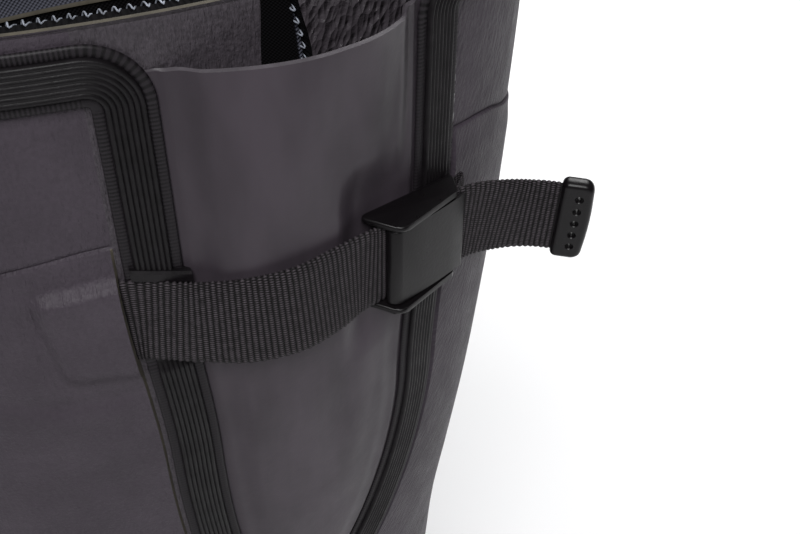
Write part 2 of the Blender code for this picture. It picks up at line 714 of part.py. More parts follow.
def build_buckle(material):
    """Cam buckle: frame of a base and two side plates, lever and pin."""
    base = ((BASE_FRONT, BASE_LOW), (BASE_REAR, BASE_LOW), (BASE_REAR, BASE_HIGH), (BASE_FRONT, BASE_HIGH))
    base_half = BUCKLE_HALF - BASE_INSET
    frame = new_object("buckle_frame", prism(base, buckle_point, -base_half, base_half), material, PARTS)
    plate = rounded(SIDE_PLATE, SIDE_PLATE_RADII)
    for name, low in (("plate_top", BUCKLE_HALF - PLATE), ("plate_low", -BUCKLE_HALF)):
        combine(frame, add_cutter(name, prism(plate, buckle_point, low, low + PLATE)), "UNION")
    slot = [(along, out) for along, out in zip(LOOP_SLOT + LOOP_SLOT[::-1], (0.0, 0.0, 6.0, 6.0))]
    slot_half = LOOP_HALF + 2.0 * GAP
    combine(frame, add_cutter("loop_slot", prism(slot, buckle_point, -slot_half, slot_half)), "DIFFERENCE")
    pin_place, pin_axis = buckle_point(*PIN_AT, 0.0), BUCKLE_AXES[3]
    bore = add_cutter("pin_bore", rod(pin_place, pin_axis, PIN_RADIUS + GAP, -BORE_REACH, BORE_REACH))
    lever_shape = prism(rounded(LEVER, LEVER_RADII), buckle_point, -LEVER_HALF, LEVER_HALF)
    lever = new_object("buckle_lever", lever_shape, material, PARTS)
    for piece in (frame, lever):
        combine(piece, bore, "DIFFERENCE")
    pin = rod(pin_place, pin_axis, PIN_RADIUS, -base_half, base_half)
    new_object("buckle_pin", pin, material, PARTS)


def build_loop(material):
    """Webbing loop round the rear bar of the buckle's frame."""
    loops = []
    count = len(LOOP_ROUTE)
    half = LOOP_THICK / 2.0
    for index, (along, out) in enumerate(LOOP_ROUTE):
        before, after = LOOP_ROUTE[index - 1], LOOP_ROUTE[(index + 1) % count]
        way = Vector((after[0] - before[0], after[1] - before[1])).normalized()
        aside = Vector((-way.y, way.x)) * half
        faces = ((along + aside.x, out + aside.y), (along - aside.x, out - aside.y))
        near, far = (([buckle_point(*face, side * LOOP_HALF) for side in (-1, 1)]) for face in faces)
        loops.append(near + far[::-1])
    return new_object("buckle_loop", loft(loops, close_ways=True), material, PARTS)


def base_z(x):
    """Underside of the sole between the lugs, with arch and toe spring."""
    arch = ARCH_LIFT * (1.0 - smoothstep((x - ARCH_END) / ARCH_RUN))
    return BASE_Z + arch + TOE_SPRING * np.clip((x - TOE_SPRING_X) / TOE_SPRING_RUN, 0.0, None) ** 2


def sole_loops():
    """Loops from the foot's seat, up inside the rim, over it and down the stepped side."""
    seat = ring(0, OVERLAY + GAP)
    seat[:, 2] = seat_z(seat[:, 0])
    loops = [seat, ring(1, OVERLAY + GAP)]
    for offset, height in SIDE_STEPS:
        step = ring(1, offset)
        step[:, 2] = seat_z(step[:, 0]) + height
        loops.append(step)
    for offset, lift in ((SOLE_EDGE + 0.4, 1.0), (SOLE_EDGE - 0.8, 0.0)):
        edge = ring(1, offset)
        edge[:, 2] = base_z(edge[:, 0]) + lift
        loops.append(edge)
    return loops


def outline_reach(x, side):
    """How far the sole's edge lies from the middle line at a place along the foot."""
    edge = ring(1, SOLE_EDGE - 1.5, count=240)
    half = edge[edge[:, 1] * side > 0.0]
    order = np.argsort(half[:, 0])
    return float(abs(np.interp(x, half[order, 0], half[order, 1])))


def lug(x, y, length, width, turn):
    """One block of the tread, let into the sole; at the toe it follows the spring."""
    spring = float(base_z(x)) - BASE_Z if x > HEEL_BREAST_X else 0.0
    height = BASE_Z + LUG_EMBED
    slope = (float(base_z(x + 1.0)) - float(base_z(x - 1.0))) / 2.0 if spring > 0.01 else 0.0
    bm = bmesh.new()
    bmesh.ops.create_cube(bm, size=1.0)
    bmesh.ops.scale(bm, vec=(length, width, height), verts=bm.verts)
    turned = Matrix.Rotation(-math.atan(slope), 4, "Y") @ Matrix.Rotation(turn, 4, "Z")
    placed = Matrix.Translation((x, y, spring + height / 2.0)) @ turned
    bmesh.ops.transform(bm, matrix=placed, verts=bm.verts)
    return bm


def lug_row(x, length):
    """A middle block and an edge block on either side of it."""
    blocks = [lug(x, 0.0, length, 2.0 * LUG_CENTRE_HALF, 0.0)]
    for side in (-1, 1):
        near = LUG_CENTRE_HALF + LUG_CHANNEL
        far = min(outline_reach(x + end * length / 2.0, side) for end in (-1, 1))
        if far - near > LUG_CHANNEL:
            blocks.append(lug(x, side * (near + far) / 2.0, length, far - near, side * LUG_TURN))
    return blocks


def build_sole(material):
    sole = new_object("outsole", loft(sole_loops(), caps="ladder"), material, PARTS)
    edge = ring(1, SOLE_EDGE - 0.4)
    heel = [tuple(point[:2]) for point in edge if point[0] < HEEL_BREAST_X]
    reach = [outline_reach(HEEL_BREAST_X, side) + 1.0 for side in (1, -1)]
    outline = [(HEEL_BREAST_X, reach[0])] + heel + [(HEEL_BREAST_X, -reach[1])]
    block = prism(outline, lambda x, y, z: (x, y, z), BASE_Z, BASE_Z + ARCH_LIFT + LUG_EMBED)
    combine(sole, add_cutter("heel_block", block), "UNION")
    rows = [(x, HEEL_LUG) for x in HEEL_LUG_ROWS] + [(x, FORE_LUG) for x in FORE_LUG_ROWS]
    blocks = [block for x, length in rows for block in lug_row(x, length)]
    for index, block in enumerate(blocks):
        combine(sole, add_cutter(f"lug_{index + 1}", block), "UNION")
    return sole


def build_insole(material):
    low = ring(0, -WALL - INSOLE_GAP)
    low[:, 2] = seat_z(low[:, 0]) + GAP
    high = low + np.array((0.0, 0.0, INSOLE_THICK - INSOLE_EDGE))
    top = ring(0, -WALL - INSOLE_GAP - INSOLE_EDGE)
    top[:, 2] = seat_z(top[:, 0]) + GAP + INSOLE_THICK
    return new_object("insole", loft([low, high, top], caps="ladder"), material, PARTS)


def clear_scene():
    for piece in list(bpy.data.objects):
        bpy.data.objects.remove(piece, do_unlink=True)


clear_scene()
PARTS = bpy.data.collections.new("neoprene_wellington_boot")
CUTTERS = bpy.data.collections.new("cutters")
for group in (PARTS, CUTTERS):
    bpy.context.scene.collection.children.link(group)
BUCKLE_AXES = buckle_axes()
RUBBER, WEBBING, PLASTIC = (new_material(name) for name in ("rubber", "webbing", "plastic"))
build_sole(new_material("sole_rubber"))
build_insole(new_material("footbed"))
build_upper(RUBBER)
build_gusset(RUBBER)
build_tape(new_material("tape"))
build_anchor(RUBBER)
build_strap(WEBBING)
build_tip(PLASTIC)
build_buckle(PLASTIC)
build_loop(WEBBING)
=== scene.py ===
"""Looks of the neoprene wellington boot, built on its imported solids.

Frame: toe along +X, outer side along +Y, up +Z, origin on the floor under the middle of the heel.
Sizes are in millimetres and become metres where a mesh is made. Places on the shaft are given as
(around, depth): the distance round it from its widest outer point, positive towards the front, and
the depth under the collar.
"""

import math
from collections import namedtuple
from functools import lru_cache

import bmesh
import bpy
import numpy as np
from mathutils import Matrix, Vector
from mathutils.geometry import delaunay_2d_cdt


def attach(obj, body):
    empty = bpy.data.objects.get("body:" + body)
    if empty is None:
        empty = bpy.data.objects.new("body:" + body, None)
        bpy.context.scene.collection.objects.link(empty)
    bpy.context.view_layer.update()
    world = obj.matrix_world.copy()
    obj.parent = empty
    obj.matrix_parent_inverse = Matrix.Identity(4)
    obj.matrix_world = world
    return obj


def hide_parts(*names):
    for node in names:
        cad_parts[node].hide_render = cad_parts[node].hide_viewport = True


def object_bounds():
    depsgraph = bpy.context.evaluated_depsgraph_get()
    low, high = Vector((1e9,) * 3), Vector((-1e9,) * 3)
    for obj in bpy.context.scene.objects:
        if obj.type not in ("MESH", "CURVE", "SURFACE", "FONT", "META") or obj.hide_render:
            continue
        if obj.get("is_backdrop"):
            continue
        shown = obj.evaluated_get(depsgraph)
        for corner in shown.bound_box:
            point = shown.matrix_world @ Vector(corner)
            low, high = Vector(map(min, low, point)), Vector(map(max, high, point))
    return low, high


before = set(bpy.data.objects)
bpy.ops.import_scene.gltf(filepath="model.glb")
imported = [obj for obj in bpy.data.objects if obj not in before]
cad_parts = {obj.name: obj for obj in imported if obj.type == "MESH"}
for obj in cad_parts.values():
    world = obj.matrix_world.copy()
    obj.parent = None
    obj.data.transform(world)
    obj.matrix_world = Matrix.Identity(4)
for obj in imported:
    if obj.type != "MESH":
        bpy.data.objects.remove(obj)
CAD_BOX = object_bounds()

# Metres in a millimetre, millimetres in a unit of the UV maps, gap between pieces, angle of a sharp edge
MM = 0.001
UV_UNIT = 10.0
GAP = 0.3
SHARP_ANGLE = 40.0

# Numbers of points along curves
LEVEL_STEPS = 400
FRONT_POINTS = 500
MIDDLE_POINTS = 200
RING_POINTS = 361
REACH_POINTS = 480
TAPE_POINTS = (60, 40, 200)
STRAP_POINTS = 400
LOOP_POINTS = 160
PIN_POINTS = 32
HOLE_POINTS = 20

# Driving sizes of the boot
COLLAR_Z = 415.0
WALL = 4.0
OVERLAY = 1.0
OVERLAY_DEPTH = 43.0
HEEL_SEAT_Z = 24.0
BALL_SEAT_Z = 14.0
TOE_SPRING = 9.0
TOE_SPRING_X = 170.0
TOE_SPRING_RUN = 86.0
BALL_SKEW = 10.0
SEAT_FALL_X = 30.0
SEAT_FALL_RUN = 100.0
TOE_SQUARENESS = 0.35
HEEL_SQUARENESS = 0.30
OUTER_WAIST_SHARE = 0.35
SWING_POWER = 1.6

# Sections of the upper from the feather line up. rise: height over the seat of the foot.
# follow: how far the section follows the seat's curve. x_*: places along the foot. half_*: half widths.
Section = namedtuple(
    "Section",
    "rise follow x_back x_heel x_wide x_front half_heel half_medial half_lateral waist swing",
)
SECTIONS = (
    Section(0.3, 1.00, -36.0, 2.0, 152.0, 254.0, 34.5, 48.0, 50.0, 9.0, -9.0),
    Section(9.0, 1.00, -37.6, 2.0, 152.0, 256.5, 35.8, 50.2, 52.0, 8.5, -9.0),
    Section(18.5, 0.98, -38.6, 2.0, 150.0, 255.5, 36.6, 51.0, 53.0, 7.5, -9.0),
    Section(28.5, 0.93, -38.9, 2.5, 145.0, 249.5, 36.9, 50.4, 52.6, 6.0, -9.0),
    Section(38.0, 0.87, -38.8, 3.0, 134.0, 237.5, 36.9, 48.6, 50.8, 4.5, -8.5),
    Section(47.0, 0.80, -38.2, 4.0, 118.0, 218.0, 36.7, 46.2, 48.4, 3.0, -7.5),
    Section(57.3, 0.70, -37.3, 6.0, 98.0, 194.0, 36.6, 43.6, 45.6, 1.8, -6.0),
    Section(68.5, 0.58, -36.2, 9.0, 79.0, 169.0, 36.8, 41.6, 43.2, 0.8, -4.5),
    Section(82.0, 0.44, -34.6, 13.0, 63.0, 146.0, 37.4, 40.6, 41.6, 0.0, -3.0),
    Section(97.7, 0.30, -32.8, 19.0, 51.0, 128.0, 38.4, 40.4, 41.0, 0.0, -1.5),
    Section(114.0, 0.18, -31.2, 26.0, 43.0, 114.5, 39.6, 40.6, 40.9, 0.0, -0.5),
    Section(132.0, 0.08, -29.8, 30.0, 37.0, 106.2, 40.6, 41.0, 41.1, 0.0, 0.0),
    Section(152.0, 0.00, -29.0, 31.0, 34.0, 101.6, 41.0, 41.2, 41.2, 0.0, 0.0),
)

# Sections of the shaft over the ankle: rise, x_back, x_heel, x_wide, x_front and the half width all round
SHAFT_SECTIONS = (
    (176.0, -29.0, 30.0, 32.0, 99.4, 40.8),
    (202.0, -30.2, 29.0, 30.5, 99.4, 40.0),
    (226.0, -32.4, 28.6, 29.4, 100.5, 39.6),
    (245.0, -35.0, 28.5, 28.6, 101.7, 39.8),
    (265.0, -39.2, 28.4, 28.5, 103.8, 41.1),
    (290.0, -44.2, 28.2, 28.3, 106.4, 42.5),
    (315.0, -48.1, 28.1, 28.2, 108.6, 43.7),
    (340.0, -51.5, 28.0, 28.1, 110.5, 44.8),
    (365.0, -54.1, 28.0, 28.1, 112.0, 45.8),
    (390.0, -56.3, 28.0, 28.1, 113.0, 46.8),
    (COLLAR_Z, -57.6, 28.0, 28.1, 113.6, 47.7),
)
SECTIONS += tuple(Section(rise, 0.0, *xs, half, half, half, 0.0, 0.0) for rise, *xs, half in SHAFT_SECTIONS)
FIRST_SHAFT_ROW = 12
LAST_ROW = len(SECTIONS) - 1
SHAFT_DEPTH = COLLAR_Z - SECTIONS[FIRST_SHAFT_ROW].rise

# Gusset: the tape's centre line, as depths under the collar and distances round the shaft
GUSSET_CENTRE_TOP = -21.5
GUSSET_CENTRE_MID = -19.3
GUSSET_CENTRE_LOW = -10.0
GUSSET_CENTRE_BEND = 1.5
GUSSET_HALF_TOP = 29.5
GUSSET_HALF_MID = 27.0
GUSSET_NARROWING_DEPTH = 50.0
GUSSET_MID_DEPTH = 100.0
GUSSET_LOW_DEPTH = 172.0
GUSSET_POINTEDNESS = 1.75
GUSSET_TOP_DEPTH = 9.0
GUSSET_SHEET = 1.2
GUSSET_SHEET_LOW = 165.0
GUSSET_TUCK = 2.6
GUSSET_EDGE_LIFT = 0.35
GUSSET_EDGE_RUN = 2.4
GUSSET_SWELL_START = 1.0
GUSSET_SWELL_RUN = 5.0
GUSSET_CREASE_RUN = 4.0
GUSSET_COLUMNS = 110
GUSSET_FIRST_ROWS = (0.35, 0.9)
GUSSET_ROW = 1.3
GUSSET_FLOOR = 0.1
EDGE_GAP = 0.9
RECESS_GAP = 0.3
RECESS_TURN = 4.0
RECESS_ROUNDNESS = 1.04
RECESS_FAN = 24.0
SLIT_FRONT_HALF = (3.0, 3.9)
SLIT_REAR_HALF = (3.2, 5.4)
SLIT_FLARE_DEPTH = 14.0
SLIT_DEPTH = 140.0
SLIT_CENTRE = -18.4
SLIT_LOW_SHARE = 0.15

# Swell of the gusset: how far it stands off the shaft at each depth, and how far that leans forward
Swell = namedtuple("Swell", "depth height lean")
SWELLS = (
    Swell(9.0, 7.6, -0.2),
    Swell(30.0, 5.2, 0.4),
    Swell(45.0, 3.6, 0.8),
    Swell(60.0, 3.4, 0.9),
    Swell(90.0, 3.2, 0.7),
    Swell(120.0, 2.0, 0.3),
    Swell(150.0, 0.7, 0.0),
    Swell(172.0, 0.0, 0.0),
)

# Where the buckle presses the gusset flat: from nought to full, backwards, downwards and upwards
PRESS_BACK = (-24.0, -30.0)
PRESS_DOWN = (34.0, 46.0)
PRESS_UP = (86.0, 74.0)

# Ribbed tape
TAPE_HALF = 5.2
TAPE_BAND_HALF = 3.2
TAPE_THICK = 1.5
TAPE_SEAT = 0.45
TAPE_COLLAR_DEPTH = 8.0
TAPE_CORNER = 6.0
TAPE_CORNER_ANGLES = range(10, 81, 10)
TAPE_RIBS = 7
TAPE_RIB_HEIGHT = 0.34
COLLAR_RIB_SHARE = 0.5
TAPE_TOOTH = 0.75
TAPE_TOOTH_HEIGHT = 0.18
TAPE_RIB_STEPS = 4
TAPE_RIB_FULLNESS = 0.7
TAPE_LOW_SPACING = 1.6
TAPE_PRESSED = (47.5, 72.0)
TAPE_PRESSED_RUN = 3.0
TAPE_PRESSED_SEAT = 0.25
TAPE_PRESSED_SHARE = 0.4
TAPE_SHARP_ANGLE = 60.0
LEVEL_TOLERANCE = 0.01

# Flange of the tape from its edge inwards, as (across, lift over the seat, 1 on the teeth)
TAPE_EDGE = (
    (TAPE_HALF, 0.0, 0),
    (TAPE_HALF, 0.3, 0),
    (TAPE_HALF - 0.35, 0.62, 0),
    (TAPE_HALF - 0.7, 0.55, 1),
    (TAPE_BAND_HALF + 0.35, 0.55, 1),
    (TAPE_BAND_HALF + 0.1, 0.5, 0),
)
TAPE_EDGE_POINTS = len(TAPE_EDGE)

# Stop bar across the tape
STOP_REACH = (13.2, 2.8)
STOP_TOP_DEPTH = 45.7
STOP_WIDTH = 2.6
STOP_SLANT = 0.30
STOP_LIFT = 2.5
STOP_ROUNDING = 0.45

# Strap, its anchor and its tip
STRAP_DEPTH = 60.0
STRAP_WIDTH = 19.0
STRAP_THICK = 1.4
StrapKey = namedtuple("StrapKey", "around depth high_lift low_lift")
STRAP_KEYS = (
    StrapKey(17.5, 58.2, 1.4, 1.4),
    StrapKey(13.5, 58.2, 1.9, 1.9),
    StrapKey(9.0, 58.8, 3.0, 3.2),
    StrapKey(3.3, 59.6, 4.6, 5.4),
    StrapKey(-5.0, 60.0, 6.9, 9.0),
    StrapKey(-14.0, 60.0, 8.1, 10.3),
    StrapKey(-22.0, 60.0, 6.9, 8.6),
    StrapKey(-27.5, 60.0, 6.2, 6.6),
)
WEB_RIB = 1.1
WEB_RIB_HEIGHT = 0.20
WEB_THREAD = 0.50
WEB_STEP = WEB_RIB / 7.0
WEB_POINTS = 21
WEB_EDGE_THIN = 0.55
WEB_EDGE_POWER = 14
WEB_EDGE_NOTCH = 0.12
WEB_SHARP_ANGLE = 70.0
ANCHOR_FRONT = 29.2
ANCHOR_MID_DEPTH = 61.5
ANCHOR_HALF = 12.0
ANCHOR_TAPER = 0.10
ANCHOR_SLANT = 0.08
ANCHOR_THICK = 2.1
ANCHOR_EDGE_RISE = 0.6
ANCHOR_EDGE_RUN = 4.0
ANCHOR_FRONT_RUN = 3.2
ANCHOR_LOW_RUN = 6.0
ANCHOR_LOW_SHIFT = 1.0
ANCHOR_TOP_RUN = 2.6
ANCHOR_TOP_ROWS = (44.6, 52.0, 0.6)
TIP_LENGTH = 6.0
TIP_WIDTH = 21.4
TIP_THICK = 3.4
TIP_CORNER = 2.2
TIP_ROOT_CORNER = 1.4
TIP_HOLES = 5
TIP_HOLE_PITCH = 3.4
TIP_HOLE_RADIUS = 0.8
TIP_HOLE_AT = 0.55 * TIP_LENGTH
TIP_OVERLAP = 0.6
TIP_CROWN = 0.7
TIP_CROWN_RADIUS = 90.0
TIP_EDGE_HALF = ((0.0, 0.15), (0.05, 0.42), (0.2, 0.68), (0.45, 0.87), (0.78, 0.97), (1.1, 1.0))
TIP_EDGE = tuple((inset, -share) for inset, share in TIP_EDGE_HALF[::-1]) + TIP_EDGE_HALF
TIP_HOLE_EDGE = ((0.15, -1.0), (0.0, -0.9), (0.0, 0.9), (0.15, 1.0))
FILL_WITH_HOLES = 5
FILL_GRAIN = 1e-6

# Buckle: along = backwards along the strap, out = away from the shaft, both from its seat on the shaft
BUCKLE_AROUND = -40.5
BUCKLE_HALF = 11.1
PLATE = 1.3
PLATE_BEVEL = 0.45
BAR_RADIUS = 0.4
BASE_LOW = 3.05
BASE_HIGH = 3.75
BASE_FRONT = -9.1
BASE_REAR = 12.2
SIDE_PLATE = ((-11.2, 1.1), (13.2, 2.1), (9.8, 7.4), (-6.5, 10.0))
SIDE_PLATE_RADII = (1.3, 0.8, 1.4, 2.3)
LEVER = ((-7.5, 5.8), (12.2, 6.4), (12.2, 7.2), (4.5, 8.05), (-7.5, 8.75))
LEVER_RADII = (0.5, 0.3, 0.4, 130.0, 2.1)
LEVER_HALF = 9.2
LEVER_BEVEL = 0.28
PIN_RADIUS = 1.0
PIN_AT = (-4.6, 7.2)
PIN_BEVEL = 0.2
PIN_SET_BACK = 0.08
STRAP_OUT_FRONT = 4.75
STRAP_OUT_REAR = 5.4
LOOP_SLOT = (7.6, 9.6)
LOOP_HALF = 9.0
LOOP_THICK = 0.6
LOOP_ROUTE = ((8.6, 2.4), (8.55, 3.3), (8.75, 4.15), (11.0, 4.2), (12.6, 4.15))
LOOP_ROUTE += ((14.2, 3.2), (16.6, 1.75), (16.6, 0.75), (14.4, 1.4), (11.6, 2.2))

# Free tail of the strap behind the buckle; its upper edge leans out towards the tip
Tail = namedtuple("Tail", "along out drop")
TAIL = (
    Tail(16.6, 5.75, 0.4),
    Tail(21.0, 6.9, 1.0),
    Tail(26.2, 9.1, 1.7),
    Tail(30.0, 11.9, 2.0),
    Tail(32.6, 14.7, 2.2),
)
TAIL_LEAN = math.radians(10.0)

# Sole: its side from the rim's top down to the edge, as offsets from the upper and heights over the seat
SIDE_STEPS = ((1.7, 9.3), (3.4, 9.3), (4.1, 8.6), (4.6, 4.6), (4.9, 4.0), (5.8, 3.7), (6.2, 3.0))
SIDE_STEPS += ((6.2, 1.0), (5.8, 0.3), (5.0, 0.0), (5.0, -1.6), (5.8, -1.9), (6.2, -2.6))

# Rounding under it, as offsets from the sole's edge and heights over its underside
SOLE_UNDER = ((0.5, 1.4), (0.2, 0.5), (-0.8, 0.0))
SOLE_EDGE = 5.6
SOLE_POINTS = 320
BASE_Z = 5.0
ARCH_LIFT = 8.0
ARCH_END = 70.0
ARCH_RUN = 50.0
HEEL_BREAST_X = 44.0
INSOLE_THICK = 4.0
INSOLE_GAP = 0.9
INSOLE_DISH = 0.8
INSOLE_POINTS = 240
INSOLE_SIDE = ((0.0, 0.0), (0.0, 3.0), (-0.3, 3.7), (-0.8, INSOLE_THICK))

# Loops across the seat, the underside and the insole, as shares of their outlines
SEAT_SHARES = (0.05, 0.5)
UNDER_SHARES = (0.8, 0.55, 0.3, 0.05)
INSOLE_SHARES = (0.85, 0.6, 0.35, 0.1)

# Tread: blocks let into the sole, in rows across it
LUG_EMBED = 1.2
LUG_BEVEL = 0.7
LUG_SET_BACK = 1.5
HEEL_SET_BACK = 0.4
HEEL_LUG_ROWS = (-25.0, 0.0, 26.0)
HEEL_LUG = 15.0
FORE_LUG_ROWS = (108.0, 128.0, 148.0, 168.0, 188.0, 208.0, 228.0)
FORE_LUG = 10.0
LUG_CENTRE_HALF = 11.0
LUG_CHANNEL = 5.0
LUG_TURN = math.radians(12.0)

# Upper edge of the overlay, as (around, depth): it sinks away from the gusset to either side
OVERLAY_FRONT = ((13.5, 41.6), (20.7, 42.0), (27.5, 43.1), (34.3, 44.1), (45.0, 46.0))
OVERLAY_FRONT += ((60.0, 48.5), (80.0, 50.0))
OVERLAY_REAR = ((-95.0, 50.0), (-80.0, 46.6), (-71.6, 43.6), (-64.9, 42.3), (-55.8, 41.4))
OVERLAY_REACH = 30.0

# Section of that edge: a groove and a thin lip, as (depth from the edge, lift); then the sheet thickens
OVERLAY_EDGE = ((-1.0, 0.0), (-0.3, -0.45), (0.0, 0.05), (0.12, 0.32), (0.5, 0.42))
OVERLAY_RUN = 8.0

# Soft creases of the rubber: a line on the shaft, its height (a trough is below nought) and half width
Crease = namedtuple("Crease", "around_a depth_a around_b depth_b height half")
PANEL_CREASES = (
    Crease(46.0, 72.0, 31.0, 77.2, -0.45, 1.7),
    Crease(33.0, 77.0, 16.0, 76.5, -0.50, 1.7),
    Crease(44.0, 80.0, 18.0, 81.5, 0.35, 3.0),
    Crease(31.6, 49.0, 30.2, 74.0, -0.55, 1.5),
)
GUSSET_CREASES = (
    Crease(-41.0, 14.0, -38.5, 40.0, 0.55, 2.2),
    Crease(-34.0, 20.0, -31.0, 48.0, 0.45, 3.2),
    Crease(-26.0, 9.0, -24.0, 34.0, -0.45, 4.0),
    Crease(-2.0, 76.0, -14.0, 118.0, -0.50, 4.5),
    Crease(-30.0, 80.0, -24.0, 125.0, 0.50, 4.0),
)
CREASE_FADE = (0.15, 0.7)

# Folds over the instep: height of the fold over the floor, lift (a trough is below nought) and half width.
# They fade to the sides, where the face no longer looks forward.
Fold = namedtuple("Fold", "z height half")
ANKLE_FOLDS = (
    Fold(118.0, -1.5, 5.0),
    Fold(128.0, 1.1, 5.0),
    Fold(139.0, -1.3, 5.5),
    Fold(151.0, 0.9, 6.0),
    Fold(164.0, -0.8, 6.5),
)
FOLD_START = 0.1
FOLD_RUN = 0.7

# Collar: the rounded top of the wall, as (inset from the outer face, drop under the collar)
RIM = ((0.0, 0.8), (0.25, 0.25), (0.8, 0.0), (1.5, 0.0))
RIM += ((2.6, 0.0), (3.2, 0.0), (3.75, 0.25), (WALL, 0.8))

# Facing inside the collar: its section, as (inset beyond the wall, depth), from its top to its hem and back
FACING_THICK = 0.5
FACING_TOP = ((0.1, 1.2), (FACING_THICK, 1.6))
FACING_FACE = (4.0, 33.2, 8)
FACING_LOW = ((0.65, 33.5), (0.65, 34.1), (0.1, 34.3), (-0.3, 33.5), (-0.3, 1.6))
FACING_HEM_ROWS = 3
FACING_SIDE_GAP = 0.6
FACING_COLUMNS = 300

# One overlock stitch: share of half the pitch along the edge, inset, drop, and 1 where its depth wanders
STITCH_PATH = (
    (0.0, 2.0, -0.25, 0),
    (0.3, WALL - 0.2, -0.35, 0),
    (0.6, WALL + 0.75, 0.6, 0),
    (1.0, WALL + 0.85, 2.3, 1),
    (1.4, WALL + 0.75, 0.6, 0),
)
STITCH_PITCH = 2.3
STITCH_WANDER = 0.35
STITCH_PHASE = 2.399
STITCH_ENDS = 1.0
SLIT_STITCH_DEPTH = 60.0
THREAD_RADIUS = 0.15
THREAD_SIDEWAYS = (0.31, 0.57, 0.76)

# Camera, as found from the photograph's edges: millimetres and degrees, its clipping in metres
CAMERA_TARGET = (-28.764, 0.0, 313.552)
CAMERA_TURN = 22.151
CAMERA_TILT = 37.977
CAMERA_ROLL = -1.583
CAMERA_DISTANCE = 272.208
CAMERA_LENS = 47.16
CAMERA_SENSOR = 36.0
CAMERA_CLIP = (0.01, 50.0)

# Studio: half side of the floor in metres, and the even light from all round
FLOOR_HALF = 12.0
WORLD_STRENGTH = 0.05


def smoothstep(value):
    value = np.clip(value, 0.0, 1.0)
    return value * value * (3.0 - 2.0 * value)


def fall(value, soft):
    """1 where value is under minus soft, 0 where it is over nought, smooth between."""
    return 1.0 - smoothstep(value / soft + 1.0)


def unit(ways):
    """Ways made one unit long."""
    return ways / np.linalg.norm(ways, axis=-1, keepdims=True)


def gaps_along(points):
    """Distances from each point of an open row to the next."""
    return np.linalg.norm(np.diff(points, axis=0), axis=1)


def chords(points, axis=0):
    """Ways from the point before to the point after, in a closed row."""
    return np.roll(points, -1, axis=axis) - np.roll(points, 1, axis=axis)


def seat_z(x):
    """Height of the foot's seat: heel, arch down to the ball, toe spring."""
    arch = HEEL_SEAT_Z + (BALL_SEAT_Z - HEEL_SEAT_Z) * smoothstep((x - SEAT_FALL_X) / SEAT_FALL_RUN)
    return arch + TOE_SPRING * np.clip((x - TOE_SPRING_X) / TOE_SPRING_RUN, 0.0, None) ** 2


def smooth_row(rows, level):
    """Values between the rows of a table, on a smooth curve through them."""
    last = len(rows) - 1
    low = min(int(level), last - 1)
    part = level - low
    p0, p1, p2, p3 = (np.asarray(rows[min(max(low + step, 0), last)]) for step in (-1, 0, 1, 2))
    bend = 2.0 * p0 - 5.0 * p1 + 4.0 * p2 - p3
    twist = 3.0 * (p1 - p2) + p3 - p0
    return p1 + 0.5 * part * (p2 - p0 + part * (bend + part * twist))


def section_at(level):
    return Section(*smooth_row(SECTIONS, level))


SHAFT_LEVELS = np.linspace(FIRST_SHAFT_ROW, LAST_ROW, LEVEL_STEPS)
SHAFT_HEIGHTS = np.array([section_at(level).rise for level in SHAFT_LEVELS])


def level_at(depth):
    """The level of the shaft at a depth under the collar."""
    return float(np.interp(COLLAR_Z - depth, SHAFT_HEIGHTS, SHAFT_LEVELS))


def side_curve(section, side):
    """Half of a section's outline, from the front to the back. side: 1 outer, -1 inner."""
    turn = np.linspace(0.0, math.pi / 2.0, FRONT_POINTS)
    front_power = 2.0 / (2.0 + TOE_SQUARENESS * section.follow)
    back_power = 2.0 / (2.0 + HEEL_SQUARENESS * section.follow)
    half = section.half_lateral if side > 0 else section.half_medial
    waist = section.waist * (OUTER_WAIST_SHARE if side > 0 else 1.0)
    x_wide = section.x_wide - side * BALL_SKEW * section.follow
    cos, sin = np.cos(turn).clip(0.0), np.sin(turn)
    front_x = x_wide + (section.x_front - x_wide) * cos**front_power
    front_half = half * sin**front_power
    run = np.linspace(0.0, 1.0, MIDDLE_POINTS)[1:-1]
    middle_x = x_wide + (section.x_heel - x_wide) * run
    middle_half = half + (section.half_heel - half) * smoothstep(run)
    middle_half -= waist * np.sin(math.pi * run) ** 2
    back_x = section.x_heel - (section.x_heel - section.x_back) * sin**back_power
    back_half = section.half_heel * cos**back_power
    x = np.concatenate((front_x, middle_x, back_x))
    across = np.concatenate((front_half, middle_half, back_half))
    forward = np.clip((x - x_wide) / (section.x_front - x_wide), 0.0, 1.0)
    return np.stack((x, section.swing * forward**SWING_POWER + side * across), axis=1)


def spaced(curve, count):
    """Points at even distances along an open curve, ends included."""
    curve = curve[np.concatenate(([True], gaps_along(curve[:, :3]) > 1e-6))]
    along = np.concatenate(([0.0], np.cumsum(gaps_along(curve[:, :3]))))
    wanted = np.linspace(0.0, along[-1], count)
    return np.stack([np.interp(wanted, along, column) for column in curve.T], axis=1)


Ring = namedtuple("Ring", "along plan normal z length widest")


@lru_cache(maxsize=None)
def ring_at(level):
    """Outline at a level, from the front round the outer side to the back and on along the inner side."""
    section = section_at(level)
    outer, inner = (spaced(side_curve(section, side), RING_POINTS) for side in (1, -1))
    plan = np.concatenate((outer[:-1], inner[::-1][:-1]))
    steps = np.linalg.norm(np.roll(plan, -1, axis=0) - plan, axis=1)
    along = np.concatenate(([0.0], np.cumsum(steps)[:-1]))
    ahead = chords(plan)
    normal = unit(np.stack((ahead[:, 1], -ahead[:, 0]), axis=1))
    z = section.rise + section.follow * seat_z(plan[:, 0])
    widest = np.interp(-section.x_wide, -outer[:-1, 0], along[: len(outer) - 1])
    return Ring(along, plan, normal, z, float(steps.sum()), float(widest))


